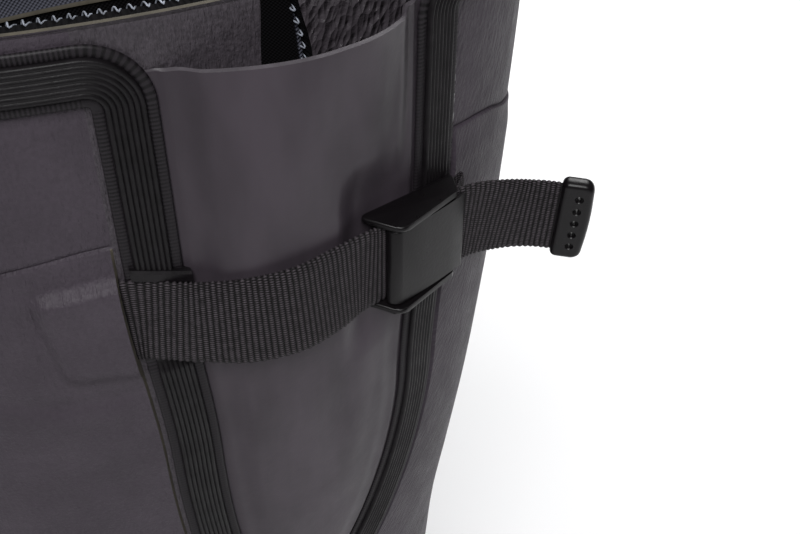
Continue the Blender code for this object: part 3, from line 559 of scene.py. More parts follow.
def read_ring(ring, along, offset=0.0):
    """Points of an outline at distances along it, pushed out sideways by an offset."""

    def read(values):
        return np.interp(along, ring.along, values, period=ring.length)

    normal = unit(np.stack((read(ring.normal[:, 0]), read(ring.normal[:, 1])), axis=-1))
    plan = np.stack((read(ring.plan[:, 0]), read(ring.plan[:, 1])), axis=-1)
    plan = plan + normal * np.asarray(offset)[..., None]
    return np.concatenate((plan, read(ring.z)[..., None]), axis=-1)


def even_ring(level, offset, count):
    """Evenly spaced closed outline at a level, pushed out sideways by an offset."""
    ring = ring_at(level)
    return read_ring(ring, np.arange(count) * ring.length / count, np.full(count, offset))


def on_shaft(around, depth, lift=0.0):
    """Points of the shaft, read between outlines a millimetre apart."""
    around, depth, lift = np.broadcast_arrays(np.asarray(around, float), depth, lift)
    points = np.empty(around.shape + (3,))
    steps = np.floor(depth).astype(int)
    for step in np.unique(steps):
        here = steps == step
        rings = [ring_at(level_at(float(edge))) for edge in (step, step + 1)]
        high, low = (read_ring(ring, ring.widest - around[here], lift[here]) for ring in rings)
        points[here] = high + (low - high) * (depth[here] - step)[..., None]
    return points


def gusset_centre(depth):
    if depth <= GUSSET_MID_DEPTH:
        return GUSSET_CENTRE_TOP + (GUSSET_CENTRE_MID - GUSSET_CENTRE_TOP) * depth / GUSSET_MID_DEPTH
    part = (depth - GUSSET_MID_DEPTH) / (GUSSET_LOW_DEPTH - GUSSET_MID_DEPTH)
    return GUSSET_CENTRE_MID + (GUSSET_CENTRE_LOW - GUSSET_CENTRE_MID) * part**GUSSET_CENTRE_BEND


def gusset_half(depth):
    """Half width from centre line to tape centre line, closing to a rounded point."""
    run = GUSSET_MID_DEPTH - GUSSET_NARROWING_DEPTH
    narrowing = smoothstep((depth - GUSSET_NARROWING_DEPTH) / run)
    half = GUSSET_HALF_TOP + (GUSSET_HALF_MID - GUSSET_HALF_TOP) * narrowing
    part = np.clip((depth - GUSSET_MID_DEPTH) / (GUSSET_LOW_DEPTH - GUSSET_MID_DEPTH), 0.0, 1.0)
    return float(half * (1.0 - part**GUSSET_POINTEDNESS) ** (1.0 / GUSSET_POINTEDNESS))


def tape_place(depth, side):
    """Place of the tape's centre line. side: 1 in front of the gusset, -1 behind it."""
    return gusset_centre(depth) + side * gusset_half(depth)


def tape_reach(depth, side):
    """Half the tape's width measured level round the shaft, where the tape may slant."""
    step = 1.0
    slope = (tape_place(depth + step, side) - tape_place(depth - step, side)) / (2.0 * step)
    return TAPE_HALF * math.hypot(1.0, slope)


def gusset_edge(depth, side):
    return tape_place(depth, side) - side * (tape_reach(depth, side) + EDGE_GAP)


def recess_edge(depth, side):
    return tape_place(depth, side) + side * (tape_reach(depth, side) + RECESS_GAP)


def buckle_press(around, depth):
    """1 where the buckle presses the gusset flat on the shaft, 0 away from it."""
    ramps = ((around, PRESS_BACK), (depth, PRESS_DOWN), (depth, PRESS_UP))
    return math.prod(smoothstep((place - start) / (stop - start)) for place, (start, stop) in ramps)


def gusset_swell(around, depth):
    """How far the gusset bulges off the shaft."""
    front, rear = gusset_edge(depth, 1), gusset_edge(depth, -1)
    across = np.clip((2.0 * np.asarray(around) - front - rear) / (front - rear), -1.0, 1.0)
    depths = [swell.depth for swell in SWELLS]
    height = np.interp(depth, depths, [swell.height for swell in SWELLS])
    lean = np.interp(depth, depths, [swell.lean for swell in SWELLS])
    swell = height * (1.0 - across**2) * np.exp(lean * across)
    return swell * (1.0 - buckle_press(around, depth))


def crease_lift(creases, around, depth):
    """Height of soft ridges and troughs along lines on the shaft."""
    lift = np.zeros(np.broadcast(around, depth).shape)
    start, share = CREASE_FADE
    for crease in creases:
        run = np.array((crease.around_b - crease.around_a, crease.depth_b - crease.depth_a))
        from_start = (around - crease.around_a) * run[0] + (depth - crease.depth_a) * run[1]
        part = from_start / (run @ run)
        near = np.clip(part, 0.0, 1.0)
        aside = np.hypot(
            around - crease.around_a - near * run[0],
            depth - crease.depth_a - near * run[1],
        )
        along = np.sin(math.pi * (start + share * near))
        lift += crease.height * np.exp(-((aside / crease.half) ** 2)) * along
    return lift


def tape_route(step):
    """Closed route of the tape's centre line, as (around, depth), at even steps from its low end."""
    low_points, upright_points, collar_points = TAPE_POINTS
    fall_run = GUSSET_LOW_DEPTH - GUSSET_MID_DEPTH
    parts = np.linspace(0.0, 1.0, low_points)[1:-1] ** TAPE_LOW_SPACING
    low = [GUSSET_LOW_DEPTH - fall_run * part for part in parts]
    corner_depth = TAPE_COLLAR_DEPTH + TAPE_CORNER
    upright = low + list(np.linspace(GUSSET_MID_DEPTH, corner_depth, upright_points))
    front = [(tape_place(depth, 1), depth) for depth in upright]
    rear = [(tape_place(depth, -1), depth) for depth in upright]
    front_at, rear_at = front[-1][0], rear[-1][0]
    for angle in np.radians(TAPE_CORNER_ANGLES):
        reach = TAPE_CORNER * (1.0 - math.cos(angle))
        depth = corner_depth - TAPE_CORNER * math.sin(angle)
        front.append((front_at + reach, depth))
        rear.append((rear_at - reach, depth))
    length = ring_at(level_at(TAPE_COLLAR_DEPTH)).length
    collar = np.linspace(front_at + TAPE_CORNER, length + rear_at - TAPE_CORNER, collar_points)
    level_run = [(around, TAPE_COLLAR_DEPTH) for around in collar]
    back = [(around + length, depth) for around, depth in rear[::-1]]
    start = [(GUSSET_CENTRE_LOW, GUSSET_LOW_DEPTH)]
    route = np.array(start + front + level_run + back + [(GUSSET_CENTRE_LOW + length, GUSSET_LOW_DEPTH)])
    route = spaced(route, int(gaps_along(route).sum() / step))[:-1]
    behind = route[:, 0] > length / 2.0
    route[behind, 0] -= length
    return route


NOISE_ROUGHNESS = 0.55


class Surface:
    """One material, with a short way to add nodes to it."""

    def __init__(self, name, colour, roughness, specular=0.5):
        self.material = bpy.data.materials.new(name)
        self.material.use_nodes = True
        self.tree = self.material.node_tree
        self.shader = self.tree.nodes["Principled BSDF"]
        self.shader.inputs["Base Color"].default_value = (*colour, 1.0)
        self.shader.inputs["Roughness"].default_value = roughness
        self.shader.inputs["Specular IOR Level"].default_value = specular
        self.colour = colour
        self.last_bump = None

    def node(self, kind, inputs=None, **settings):
        node = self.tree.nodes.new("ShaderNode" + kind)
        for key, value in settings.items():
            setattr(node, key, value)
        for key, value in (inputs or {}).items():
            if isinstance(value, bpy.types.NodeSocket):
                self.tree.links.new(value, node.inputs[key])
            else:
                node.inputs[key].default_value = value
        return node

    def place(self, kind="Object", stretch=(1.0, 1.0, 1.0)):
        coordinates = self.node("TexCoord").outputs[kind]
        return self.node("Mapping", {"Vector": coordinates, "Scale": stretch}).outputs["Vector"]

    def noise(self, scale, detail=3.0, place=None):
        inputs = {"Vector": place or self.place(), "Scale": scale, "Detail": detail}
        inputs["Roughness"] = NOISE_ROUGHNESS
        return self.node("TexNoise", inputs).outputs["Fac"]

    def cells(self, scale, place):
        inputs = {"Vector": place, "Scale": scale}
        return self.node("TexVoronoi", inputs, feature="F1").outputs["Distance"]

    def math(self, operation, first, second=0.0):
        return self.node("Math", {0: first, 1: second}, operation=operation).outputs[0]

    def ranged(self, value, low, high, start=0.0, stop=1.0):
        inputs = {"Value": value, "From Min": start, "From Max": stop, "To Min": low, "To Max": high}
        return self.node("MapRange", inputs).outputs["Result"]

    def tint(self, value, low, high, start=0.3, stop=0.7):
        """Vary the colour between two shares of itself."""
        ramp = self.node("ValToRGB", {"Fac": value})
        for element, at, share in zip(ramp.color_ramp.elements, (start, stop), (low, high)):
            element.position = at
            element.color = (*(channel * share for channel in self.colour), 1.0)
        self.tree.links.new(ramp.outputs["Color"], self.shader.inputs["Base Color"])

    def rough(self, value, low, high, start=0.3, stop=0.7):
        self.tree.links.new(self.ranged(value, low, high, start, stop), self.shader.inputs["Roughness"])

    def bump(self, relief, height):
        """Add a relief of a height in millimetres."""
        inputs = {"Height": relief, "Distance": height * MM, "Strength": 1.0}
        if self.last_bump:
            inputs["Normal"] = self.last_bump
        self.last_bump = self.node("Bump", inputs).outputs["Normal"]
        self.tree.links.new(self.last_bump, self.shader.inputs["Normal"])

    def waves(self, across, along):
        """Sine waves across a UV map in centimetres, with pitches in millimetres."""
        parts = self.node("SeparateXYZ", {"Vector": self.place("UV")})
        turns = []
        for axis, pitch in (("X", across), ("Y", along)):
            if pitch:
                turns.append(self.math("MULTIPLY", parts.outputs[axis], 2.0 * math.pi * UV_UNIT / pitch))
        return [self.math("SINE", turn) for turn in turns]


def grained(name, colour, roughness, specular=0.5, tint=None, rough=None, bumps=()):
    """Surface with noise in it.

    tint and rough: scale, detail, low and high value. bumps: scale, detail, height in millimetres and,
    for a grain that runs up the boot, the stretch of the UV map.
    """
    surface = Surface(name, colour, roughness, specular)
    if tint:
        surface.tint(surface.noise(*tint[:2]), *tint[2:])
    if rough:
        surface.rough(surface.noise(*rough[:2]), *rough[2:])
    for scale, detail, height, *stretch in bumps:
        place = surface.place("UV", (1.0, *stretch, 1.0)) if stretch else None
        surface.bump(surface.noise(scale, detail, place), height)
    return surface


def rubber_surface():
    """Rubber of the upper, mottled and speckled, with soft upright folds."""
    bumps = ((4.0, 4.0, 0.25, 0.22), (12.0, 3.0, 0.42, 0.3), (1300.0, 3.0, 0.20))
    rough = (160.0, 3.0, 0.46, 0.58)
    surface = grained("upper_rubber", (0.054, 0.0442, 0.0560), 0.52, 0.22, rough=rough, bumps=bumps)
    speckle = surface.ranged(surface.noise(1200.0, 2.0), 0.8, 1.2, 0.3, 0.7)
    surface.tint(surface.math("MULTIPLY", surface.noise(45.0, 4.0), speckle), 0.82, 1.14)
    return surface.material


def strip_surface():
    """Rubber beside the slit, with fine upright crinkles."""
    tint = (1300.0, 2.0, 0.75, 1.25)
    bumps = ((13.0, 3.0, 0.38, 0.22), (30.0, 3.0, 0.22, 0.35), (1800.0, 3.0, 0.10))
    return grained("crinkled_rubber", (0.052, 0.0445, 0.053), 0.5, 0.35, tint, bumps=bumps).material


def shiny_surface():
    """Rubber behind the slit, creased like soft leather."""
    surface = grained("creased_rubber", (0.050, 0.043, 0.050), 0.3, 0.9, rough=(300.0, 3.0, 0.20, 0.36))
    surface.bump(surface.cells(9.0, surface.place("UV", (1.0, 0.5, 1.0))), 0.75)
    surface.bump(surface.noise(900.0, 4.0), 0.25)
    return surface.material


def gusset_surface():
    """Smooth rubber sheet, paler where it stands out between the tapes: painted shade darkens it towards the
    tapes, and painted streaks of sheen run down it.
    """
    rough = (120.0, 5.0, 0.38, 0.50)
    bumps = ((350.0, 2.0, 0.06), (2200.0, 2.0, 0.02))
    surface = grained("gusset_rubber", (0.049, 0.0400, 0.0495), 0.44, 0.25, rough=rough, bumps=bumps)
    parts = surface.node("SeparateXYZ", {"Vector": surface.place("UV")})
    from_middle = surface.math("SUBTRACT", parts.outputs["X"], gusset_centre(STRAP_DEPTH) / UV_UNIT)
    aside = surface.math("ABSOLUTE", from_middle)
    # Painted streaks of sheen down the sheet, times painted shade that darkens it towards the tapes
    streaks = surface.noise(0.8, 3.0, surface.place("UV", (1.0, 0.3, 1.0)))
    tone_and_painted_light = surface.math("MULTIPLY", streaks, surface.ranged(aside, 1.08, 0.8, 0.9, 2.3))
    surface.tint(tone_and_painted_light, 0.78, 1.22, 0.36, 0.66)
    return surface.material


def flange_surface():
    """Edge of the tape, paler than the band, with painted highlights on its teeth and painted shade between
    them.
    """
    surface = grained("tape_flange", (0.014, 0.0118, 0.0142), 0.5, 0.22, bumps=((2500.0, 2.0, 0.04),))
    teeth = surface.waves(0.0, TAPE_TOOTH)[0]
    # Painted highlight on each tooth and painted shade in the gap between teeth
    surface.tint(surface.ranged(teeth, 0.0, 1.0, -1.0, 1.0), 0.50, 1.35, 0.25, 0.75)
    return surface.material


def webbing_surface():
    """Ribbed webbing: threads on the ribs that the mesh has, with painted highlights where they pass over
    and painted shade between them.
    """
    surface = Surface("webbing", (0.022, 0.0186, 0.0215), 0.7, 0.25)
    across, along = surface.waves(WEB_THREAD, 2.0 * WEB_RIB)
    shifted = surface.math("MULTIPLY", across, surface.math("SIGN", along))
    dots = surface.ranged(shifted, 0.0, 1.0, -1.0, 1.0)
    knots = surface.math("MULTIPLY", dots, surface.math("ABSOLUTE", along))
    # Painted highlight on the thread crossings and painted shade between them, varied at random
    tone_and_painted_light = surface.math("MULTIPLY", knots, surface.ranged(surface.noise(900.0), 0.6, 1.4, 0.3, 0.7))
    surface.tint(tone_and_painted_light, 0.12, 3.8, 0.12, 0.9)
    surface.bump(knots, 0.22)
    return surface.material


def knit_surface(name, colour, across, along):
    surface = Surface(name, colour, 0.9, 0.1)
    first, second = surface.waves(across, along)
    loops = surface.math("MULTIPLY", first, second)
    surface.tint(surface.ranged(loops, 0.0, 1.0, -1.0, 1.0), 0.75, 1.25)
    surface.bump(loops, 0.16)
    return surface.material


# Pitches of the knits, across and along
COLLAR_KNIT = (1.1, 0.9)
FOOTBED_KNIT = (1.6, 1.6)

# Looks without a pattern of their own: colour, roughness, specular, tint, rough and bumps as in grained
PLAIN_LOOKS = {
    "cut_edge": (
        (0.066, 0.057, 0.041), 0.7, 0.5, (375.0, 3.0, 0.8, 1.2), None, ((1500.0, 3.0, 0.05),),
    ),
    # Top edge of the gusset, paler than its face: partly its cut edge's own colour, partly a painted
    # highlight on the rounded edge
    "gusset_rim": (
        (0.062, 0.054, 0.063), 0.4, 0.5, (375.0, 3.0, 0.8, 1.2), None, ((1500.0, 3.0, 0.03),),
    ),
    "ribbed_tape": (
        (0.0060, 0.0050, 0.0060), 0.45, 0.22, (400.0, 3.0, 0.7, 1.4), (250.0, 3.0, 0.36, 0.54),
        ((2500.0, 2.0, 0.04),),
    ),
    "black_plastic": (
        (0.0046, 0.0038, 0.0045), 0.30, 0.24, None, (500.0, 4.0, 0.27, 0.36), ((1600.0, 3.0, 0.025),),
    ),
    "sole_rubber": (
        (0.028, 0.026, 0.029), 0.55, 0.5, (60.0, 4.0, 0.85, 1.15), (200.0, 3.0, 0.48, 0.66),
        ((1300.0, 3.0, 0.10),),
    ),
    "thread": (
        (0.40, 0.43, 0.50), 0.8, 0.5, (500.0, 3.0, 0.25, 1.2), None, ((4000.0, 3.0, 0.06),),
    ),
    "pale_floor": ((0.92, 0.92, 0.93), 0.75, 0.2, (3.0, 3.0, 0.99, 1.01)),
}
PLAIN = {name: grained(name, *look).material for name, look in PLAIN_LOOKS.items()}


def finish_piece(piece, slot, *nodes):
    """Let a piece ride on the boot and stand for its solids. The slot is not used."""
    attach(piece, "root")
    if nodes:
        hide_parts(*nodes)
    return piece


def link_mesh(name, mesh, sharp=SHARP_ANGLE):
    """Object of a mesh with smooth faces, apart from those that meet at a sharp angle."""
    mesh.shade_smooth()
    mesh.set_sharp_from_angle(angle=math.radians(sharp))
    piece = bpy.data.objects.new(name, mesh)
    bpy.context.scene.collection.objects.link(piece)
    return piece


def turn_out(piece):
    """Point all faces of a closed piece outwards."""
    bm = bmesh.new()
    bm.from_mesh(piece.data)
    bmesh.ops.recalc_face_normals(bm, faces=bm.faces)
    bm.to_mesh(piece.data)
    bm.free()
    return piece


def add_mesh(name, points, faces, materials, indices=None, uv=None, sharp=SHARP_ANGLE):
    """Closed object from points in millimetres, with smooth faces and, if given, a UV map in centimetres."""
    mesh = bpy.data.meshes.new(name)
    mesh.from_pydata((np.asarray(points, float) * MM).tolist(), [], faces)
    for material in materials:
        mesh.materials.append(material)
    if indices is not None:
        mesh.polygons.foreach_set("material_index", np.asarray(indices, np.int32))
    if uv is not None:
        corners = np.empty(len(mesh.loops), np.int32)
        mesh.loops.foreach_get("vertex_index", corners)
        layer = mesh.uv_layers.new(name="UVMap")
        layer.data.foreach_set("uv", np.asarray(uv, np.float32)[corners].ravel())
    mesh.update()
    return turn_out(link_mesh(name, mesh, sharp))


def grid_faces(rows, columns, close_rows=False, close_columns=False):
    """Quads of a grid of points, as an array of four point numbers."""
    row = np.arange(rows if close_rows else rows - 1)[:, None]
    column = np.arange(columns if close_columns else columns - 1)[None, :]
    below, above = row * columns, ((row + 1) % rows) * columns
    beside = (column + 1) % columns
    corners = (below + column, above + column, above + beside, below + beside)
    return np.stack(np.broadcast_arrays(*corners), axis=-1)


def add_band(name, loops, material, caps=False, uv=None, sharp=SHARP_ANGLE):
    """Closed skin through loops of equal length. caps closes both end loops."""
    loops = np.asarray(loops, float)
    rows, columns = loops.shape[:2]
    faces = grid_faces(rows, columns, close_rows=not caps, close_columns=True).reshape(-1, 4).tolist()
    if caps:
        faces.append(list(range(columns)))
        faces.append(list(range(rows * columns - 1, (rows - 1) * columns - 1, -1)))
    return add_mesh(name, loops.reshape(-1, 3), faces, [material], uv=uv, sharp=sharp)


def tube(points, radius, sides=6):
    """Loops of a round thread along a line of points."""
    points = np.asarray(points, float)
    ahead = unit(np.gradient(points, axis=0))
    aside = unit(np.cross(ahead, THREAD_SIDEWAYS))
    rise = np.cross(ahead, aside)
    turn = np.linspace(0.0, 2.0 * math.pi, sides, endpoint=False)
    ring = np.cos(turn)[None, :, None] * aside[:, None] + np.sin(turn)[None, :, None] * rise[:, None]
    return points[:, None] + radius * ring


# Upper: columns from the slit's front edge forwards round the shaft to its rear edge, then over the slit
SLIT_STRIP = 24
FRONT_FINE = (52, 62.0)
REAR_FINE = (40, 46.0)
FAR_SIDE = 52
SLIT_GAP = 4
STEP_WIDTH = 0.45
OVERLAY_FIRST = SLIT_STRIP + 1
OVERLAY_LAST = OVERLAY_FIRST + FRONT_FINE[0] + FAR_SIDE + REAR_FINE[0]
SLIT_REAR = OVERLAY_LAST + 1 + SLIT_STRIP
COLUMNS = SLIT_REAR + SLIT_GAP
FINE_ROW = 1.2
FINE_DEPTH = 165.0
COARSE_ROW = 4.5
ROW_CLEARANCE = 0.4
ROWS_PER_LEVEL = 6
RECESS_LOW = GUSSET_LOW_DEPTH + TAPE_HALF + RECESS_GAP


def recess_ends(depth):
    """Front and rear end of the recess for gusset and tape; below it, a fan that opens again."""
    turn_depth = GUSSET_LOW_DEPTH - RECESS_TURN
    front, rear = (recess_edge(min(depth, turn_depth), side) for side in (1, -1))
    middle, half = (front + rear) / 2.0, (front - rear) / 2.0
    low = RECESS_LOW - turn_depth
    part = np.clip((depth - turn_depth) / low, 0.0, 1.0)
    half *= math.sqrt(RECESS_ROUNDNESS - part**2)
    half += RECESS_FAN * smoothstep((depth - RECESS_LOW) / (SHAFT_DEPTH - RECESS_LOW))
    return middle + half, middle - half


def slit_ends(depth, front, rear):
    """Front and rear edge of the slit; below it, columns that draw to the recess's middle."""
    flare = smoothstep(depth / SLIT_FLARE_DEPTH)
    front_half, rear_half = (top + (low - top) * flare for top, low in (SLIT_FRONT_HALF, SLIT_REAR_HALF))
    part = smoothstep((depth - SLIT_DEPTH) / (GUSSET_LOW_DEPTH - RECESS_TURN - SLIT_DEPTH))
    middle, half = (front + rear) / 2.0, SLIT_LOW_SHARE * (front - rear) / 2.0
    slit_front, slit_rear = SLIT_CENTRE + front_half, SLIT_CENTRE - rear_half
    return slit_front + (middle + half - slit_front) * part, slit_rear + (middle - half - slit_rear) * part


def column_places(depth):
    """Places round the shaft of one row's points."""
    length = ring_at(level_at(depth)).length
    recess_front, recess_rear = recess_ends(depth)
    slit_front, slit_rear = slit_ends(depth, recess_front, recess_rear)
    rear_start = length + recess_rear - STEP_WIDTH
    front_start = recess_front + STEP_WIDTH
    runs = (
        (slit_front, recess_front, SLIT_STRIP),
        (recess_front, front_start, 1),
        (front_start, front_start + FRONT_FINE[1], FRONT_FINE[0]),
        (front_start + FRONT_FINE[1], rear_start - REAR_FINE[1], FAR_SIDE),
        (rear_start - REAR_FINE[1], rear_start, REAR_FINE[0]),
        (rear_start, rear_start + STEP_WIDTH, 1),
        (rear_start + STEP_WIDTH, length + slit_rear, SLIT_STRIP),
        (length + slit_rear, length + slit_front, SLIT_GAP),
    )
    return np.concatenate([np.linspace(start, stop, count, endpoint=False) for start, stop, count in runs])


def shaft_depths():
    """Depths of the shaft's rows, from its low end up, close together at the overlay's upper edge."""
    fine = np.arange(FINE_DEPTH, RIM[0][1] + FINE_ROW / 2.0, -FINE_ROW)
    coarse_rows = int((SHAFT_DEPTH - FINE_DEPTH) / COARSE_ROW)
    coarse = np.linspace(SHAFT_DEPTH, FINE_DEPTH, coarse_rows, endpoint=False)
    depths = np.concatenate((coarse, fine))
    steps = [OVERLAY_DEPTH + offset for offset, _ in OVERLAY_EDGE] + list(np.arange(*ANCHOR_TOP_ROWS))
    steps += [RECESS_LOW - STEP_WIDTH / 2.0, RECESS_LOW + STEP_WIDTH / 2.0, SLIT_DEPTH]
    for depth in steps:
        depths = depths[np.abs(depths - depth) > ROW_CLEARANCE]
    return np.sort(np.concatenate((depths, steps, [RIM[0][1]])))[::-1]


def overlay_sink(around, depth, length):
    """How far a row near the overlay's upper edge moves down to follow that edge."""
    line = OVERLAY_FRONT + tuple((length + place, sunk) for place, sunk in OVERLAY_REAR)
    places, depths = zip(*line)
    near = smoothstep(1.0 - abs(depth - OVERLAY_DEPTH) / OVERLAY_REACH)
    return (np.interp(around, places, depths) - OVERLAY_DEPTH) * near


def anchor_lift(around, depth):
    """Swelling of the rubber over the sewn-in end of the strap."""
    half = ANCHOR_HALF + ANCHOR_TAPER * (ANCHOR_FRONT - around)
    edge = recess_edge(STRAP_DEPTH, 1)
    rise = ANCHOR_THICK + ANCHOR_EDGE_RISE * np.exp(-np.clip(around - edge, 0.0, None) / ANCHOR_EDGE_RUN)
    top = fall(ANCHOR_MID_DEPTH - half - ANCHOR_TOP_RUN / 2.0 - depth, ANCHOR_TOP_RUN)
    low = fall(depth - ANCHOR_MID_DEPTH - half + ANCHOR_LOW_SHIFT, ANCHOR_LOW_RUN)
    front = ANCHOR_FRONT - ANCHOR_SLANT * (depth - ANCHOR_MID_DEPTH)
    return rise * fall(around - front - ANCHOR_FRONT_RUN / 2.0, ANCHOR_FRONT_RUN) * top * low


def overlay_lift(row_depth):
    """Lift of the overlay at a row: none above its edge, then the groove, the lip and the full sheet."""
    below = row_depth - OVERLAY_DEPTH
    offsets, lifts = zip(*OVERLAY_EDGE)
    thicken = (OVERLAY - lifts[-1]) * smoothstep((below - offsets[-1]) / OVERLAY_RUN)
    return float(np.interp(below, offsets, lifts) + thicken)


def upper_lift(around, depth, row_depth):
    """Lift of one shaft row: the overlay and what is pressed into it."""
    on_overlay = np.zeros(COLUMNS)
    on_overlay[OVERLAY_FIRST : OVERLAY_LAST + 1] = 1.0
    if row_depth > RECESS_LOW:
        on_overlay[:] = 1.0
    relief = anchor_lift(around, depth) + crease_lift(PANEL_CREASES, around, depth)
    return on_overlay * (overlay_lift(row_depth) + relief)


def fold_lift(points, normals):
    """Soft folds over the instep, strongest on the front of the ankle."""
    lift = np.zeros(points.shape[:2])
    facing = smoothstep((normals[..., 0] - FOLD_START) / FOLD_RUN)
    for fold in ANKLE_FOLDS:
        lift += fold.height * np.exp(-(((points[..., 2] - fold.z) / fold.half) ** 2)) * facing
    return lift


def grid_normals(points):
    return unit(np.cross(np.gradient(points, axis=0), chords(points, axis=1)))


def upper_surface():
    """Base points, normals, lifts and UV places of the upper's outer face, and the depth of each row."""
    depths = shaft_depths()
    first = ring_at(level_at(depths[0]))
    last_share = (first.widest - column_places(depths[0])) / first.length
    even_share = last_share[0] - np.arange(COLUMNS) / COLUMNS
    points, lifts, uv = [], [], []
    for level in np.linspace(0.0, FIRST_SHAFT_ROW, FIRST_SHAFT_ROW * ROWS_PER_LEVEL, endpoint=False):
        ring = ring_at(float(level))
        keep = smoothstep(level / FIRST_SHAFT_ROW)
        share = even_share + (last_share - even_share) * keep
        points.append(read_ring(ring, share * ring.length, np.zeros(COLUMNS)))
        lifts.append(np.full(COLUMNS, OVERLAY))
        uv.append(np.stack((-share * ring.length, points[-1][:, 2]), axis=1) / UV_UNIT)
    foot_rows = len(points)
    for row_depth in depths:
        around = column_places(row_depth)
        depth = row_depth + overlay_sink(around, row_depth, ring_at(level_at(row_depth)).length)
        points.append(on_shaft(around, depth))
        lifts.append(upper_lift(around, depth, row_depth))
        uv.append(np.stack((around - first.widest, COLLAR_Z - depth), axis=1) / UV_UNIT)
    row_depths = np.concatenate((np.full(foot_rows, SHAFT_DEPTH + COARSE_ROW), depths))
    points = np.array(points)
    normals = grid_normals(points)
    return points, normals, np.array(lifts) + fold_lift(points, normals), np.array(uv), row_depths


# Order of the upper's materials
ON_RUBBER, ON_STRIP, ON_SHINY, ON_CUT_EDGE, ON_LINING = range(5)


def build_upper(materials):
    """Hollow upper with overlay, slit and collar rim."""
    points, normals, lifts, uv, depths = upper_surface()
    rows = len(points)
    outer = points + normals * lifts[..., None]
    inner = points - normals * WALL
    inner[0, :, 2] = points[0, :, 2]
    around = column_places(0.0)
    rim = [on_shaft(around, drop, -inset) for inset, drop in RIM[1:-1]]
    grid = np.concatenate((outer, np.array(rim), inner[::-1]))
    rim_uv = [np.stack((around, np.full(COLUMNS, COLLAR_Z)), axis=1) / UV_UNIT] * len(rim)
    grid_uv = np.concatenate((uv, np.array(rim_uv), uv[::-1]))
    total = len(grid)
    faces = grid_faces(total, COLUMNS, close_rows=True, close_columns=True)
    index = np.full((total, COLUMNS), ON_RUBBER)
    index[:rows, :SLIT_STRIP] = ON_STRIP
    index[:rows, OVERLAY_LAST + 1 : SLIT_REAR] = ON_SHINY
    low_row = int(np.argmax(depths <= RECESS_LOW))
    index[:low_row] = ON_RUBBER
    on_overlay = depths[low_row:] > OVERLAY_DEPTH
    index[low_row:rows, SLIT_STRIP] = np.where(on_overlay, ON_CUT_EDGE, ON_RUBBER)
    index[low_row:rows, OVERLAY_LAST] = ON_RUBBER
    index[rows] = ON_CUT_EDGE
    index[rows + 1 :] = ON_LINING
    keep = np.ones((total, COLUMNS), bool)
    slit_row = int(np.argmax(depths <= SLIT_DEPTH))
    keep[slit_row : total - slit_row - 1, SLIT_REAR:] = False
    quads, indices = faces[keep].tolist(), index[keep].tolist()
    for column in (0, SLIT_REAR):
        for row in range(slit_row, rows - 1):
            mirror = total - 1 - row
            quads.append([cell * COLUMNS + column for cell in (row, row + 1, mirror - 1, mirror)])
        quads.append([row * COLUMNS + column for row in range(rows - 1, total - rows + 1)])
    for column in range(SLIT_REAR, COLUMNS):
        beside = (column + 1) % COLUMNS
        low, high = slit_row * COLUMNS, (total - 1 - slit_row) * COLUMNS
        quads.append([low + column, low + beside, high + beside, high + column])
    indices += [ON_LINING] * (len(quads) - len(indices))
    piece = add_mesh("boot_upper", grid.reshape(-1, 3), quads, materials, indices, grid_uv.reshape(-1, 2))
    return finish_piece(piece, "upper_rubber", "upper", "strap_anchor")


def build_facing(material, hem):
    """Knitted band round the inside of the collar, open at the slit, with a hem along its low edge."""
    face = [(FACING_THICK, depth) for depth in np.linspace(*FACING_FACE)]
    profile = [*FACING_TOP, *face, *FACING_LOW]
    rows, uv = [], []
    for inset, depth in profile:
        front, rear = slit_ends(depth, 0.0, 0.0)
        length = ring_at(level_at(depth)).length
        around = np.linspace(front + FACING_SIDE_GAP, length + rear - FACING_SIDE_GAP, FACING_COLUMNS)
        rows.append(on_shaft(around, depth, -WALL - inset))
        uv.append(np.stack((around, np.full(len(around), depth)), axis=1) / UV_UNIT)
    columns = len(profile)
    faces = grid_faces(FACING_COLUMNS, columns, close_columns=True)
    indices = np.zeros(faces.shape[:2], int)
    hem_start = len(FACING_TOP) + len(face) - 1
    indices[:, hem_start : hem_start + FACING_HEM_ROWS] = 1
    points = np.array(rows).transpose(1, 0, 2).reshape(-1, 3)
    places = np.array(uv).transpose(1, 0, 2).reshape(-1, 2)
    ends = [list(range(columns)), list(range(len(points) - 1, len(points) - columns - 1, -1))]
    quads = faces.reshape(-1, 4).tolist() + ends
    indices = indices.ravel().tolist() + [0, 0]
    piece = add_mesh("collar_facing", points, quads, [material, hem], indices, places)
    return finish_piece(piece, "footbed")


def overlock(place, start, stop):
    """Zigzag of thread over an edge. place turns (along, inset, drop) into a point."""
    count = int((stop - start) / STITCH_PITCH)
    line = []
    for number in range(count):
        along = start + (stop - start) * number / count
        wander = STITCH_WANDER * math.sin(number * STITCH_PHASE)
        for share, inset, drop, loose in STITCH_PATH:
            line.append(place(along + share * STITCH_PITCH / 2.0, inset, drop + loose * wander))
    levels = np.linspace(0.0, len(line) - 1.0, len(line) * 3)
    return tube([smooth_row(line, level) for level in levels], THREAD_RADIUS)


def build_stitches(material):
    """Overlock stitches round the collar and along both edges of the slit."""
    front, rear = slit_ends(0.0, 0.0, 0.0)
    length = ring_at(LAST_ROW).length

    def on_collar(along, inset, drop):
        return on_shaft(along, max(drop, 0.0), -inset) + np.array((0.0, 0.0, max(-drop, 0.0)))

    def on_slit(side):
        def place(along, inset, drop):
            edges = slit_ends(along, 0.0, 0.0)
            return on_shaft(edges[0 if side > 0 else 1] + side * drop, along, -inset)

        return place

    lines = (
        ("collar_stitches", overlock(on_collar, front + STITCH_ENDS, length + rear - STITCH_ENDS)),
        ("front_slit_stitches", overlock(on_slit(1), STITCH_ENDS, SLIT_STITCH_DEPTH)),
        ("rear_slit_stitches", overlock(on_slit(-1), STITCH_ENDS, SLIT_STITCH_DEPTH)),
    )
    for name, loops in lines:
        finish_piece(add_band(name, loops, material, caps=True), "footbed")


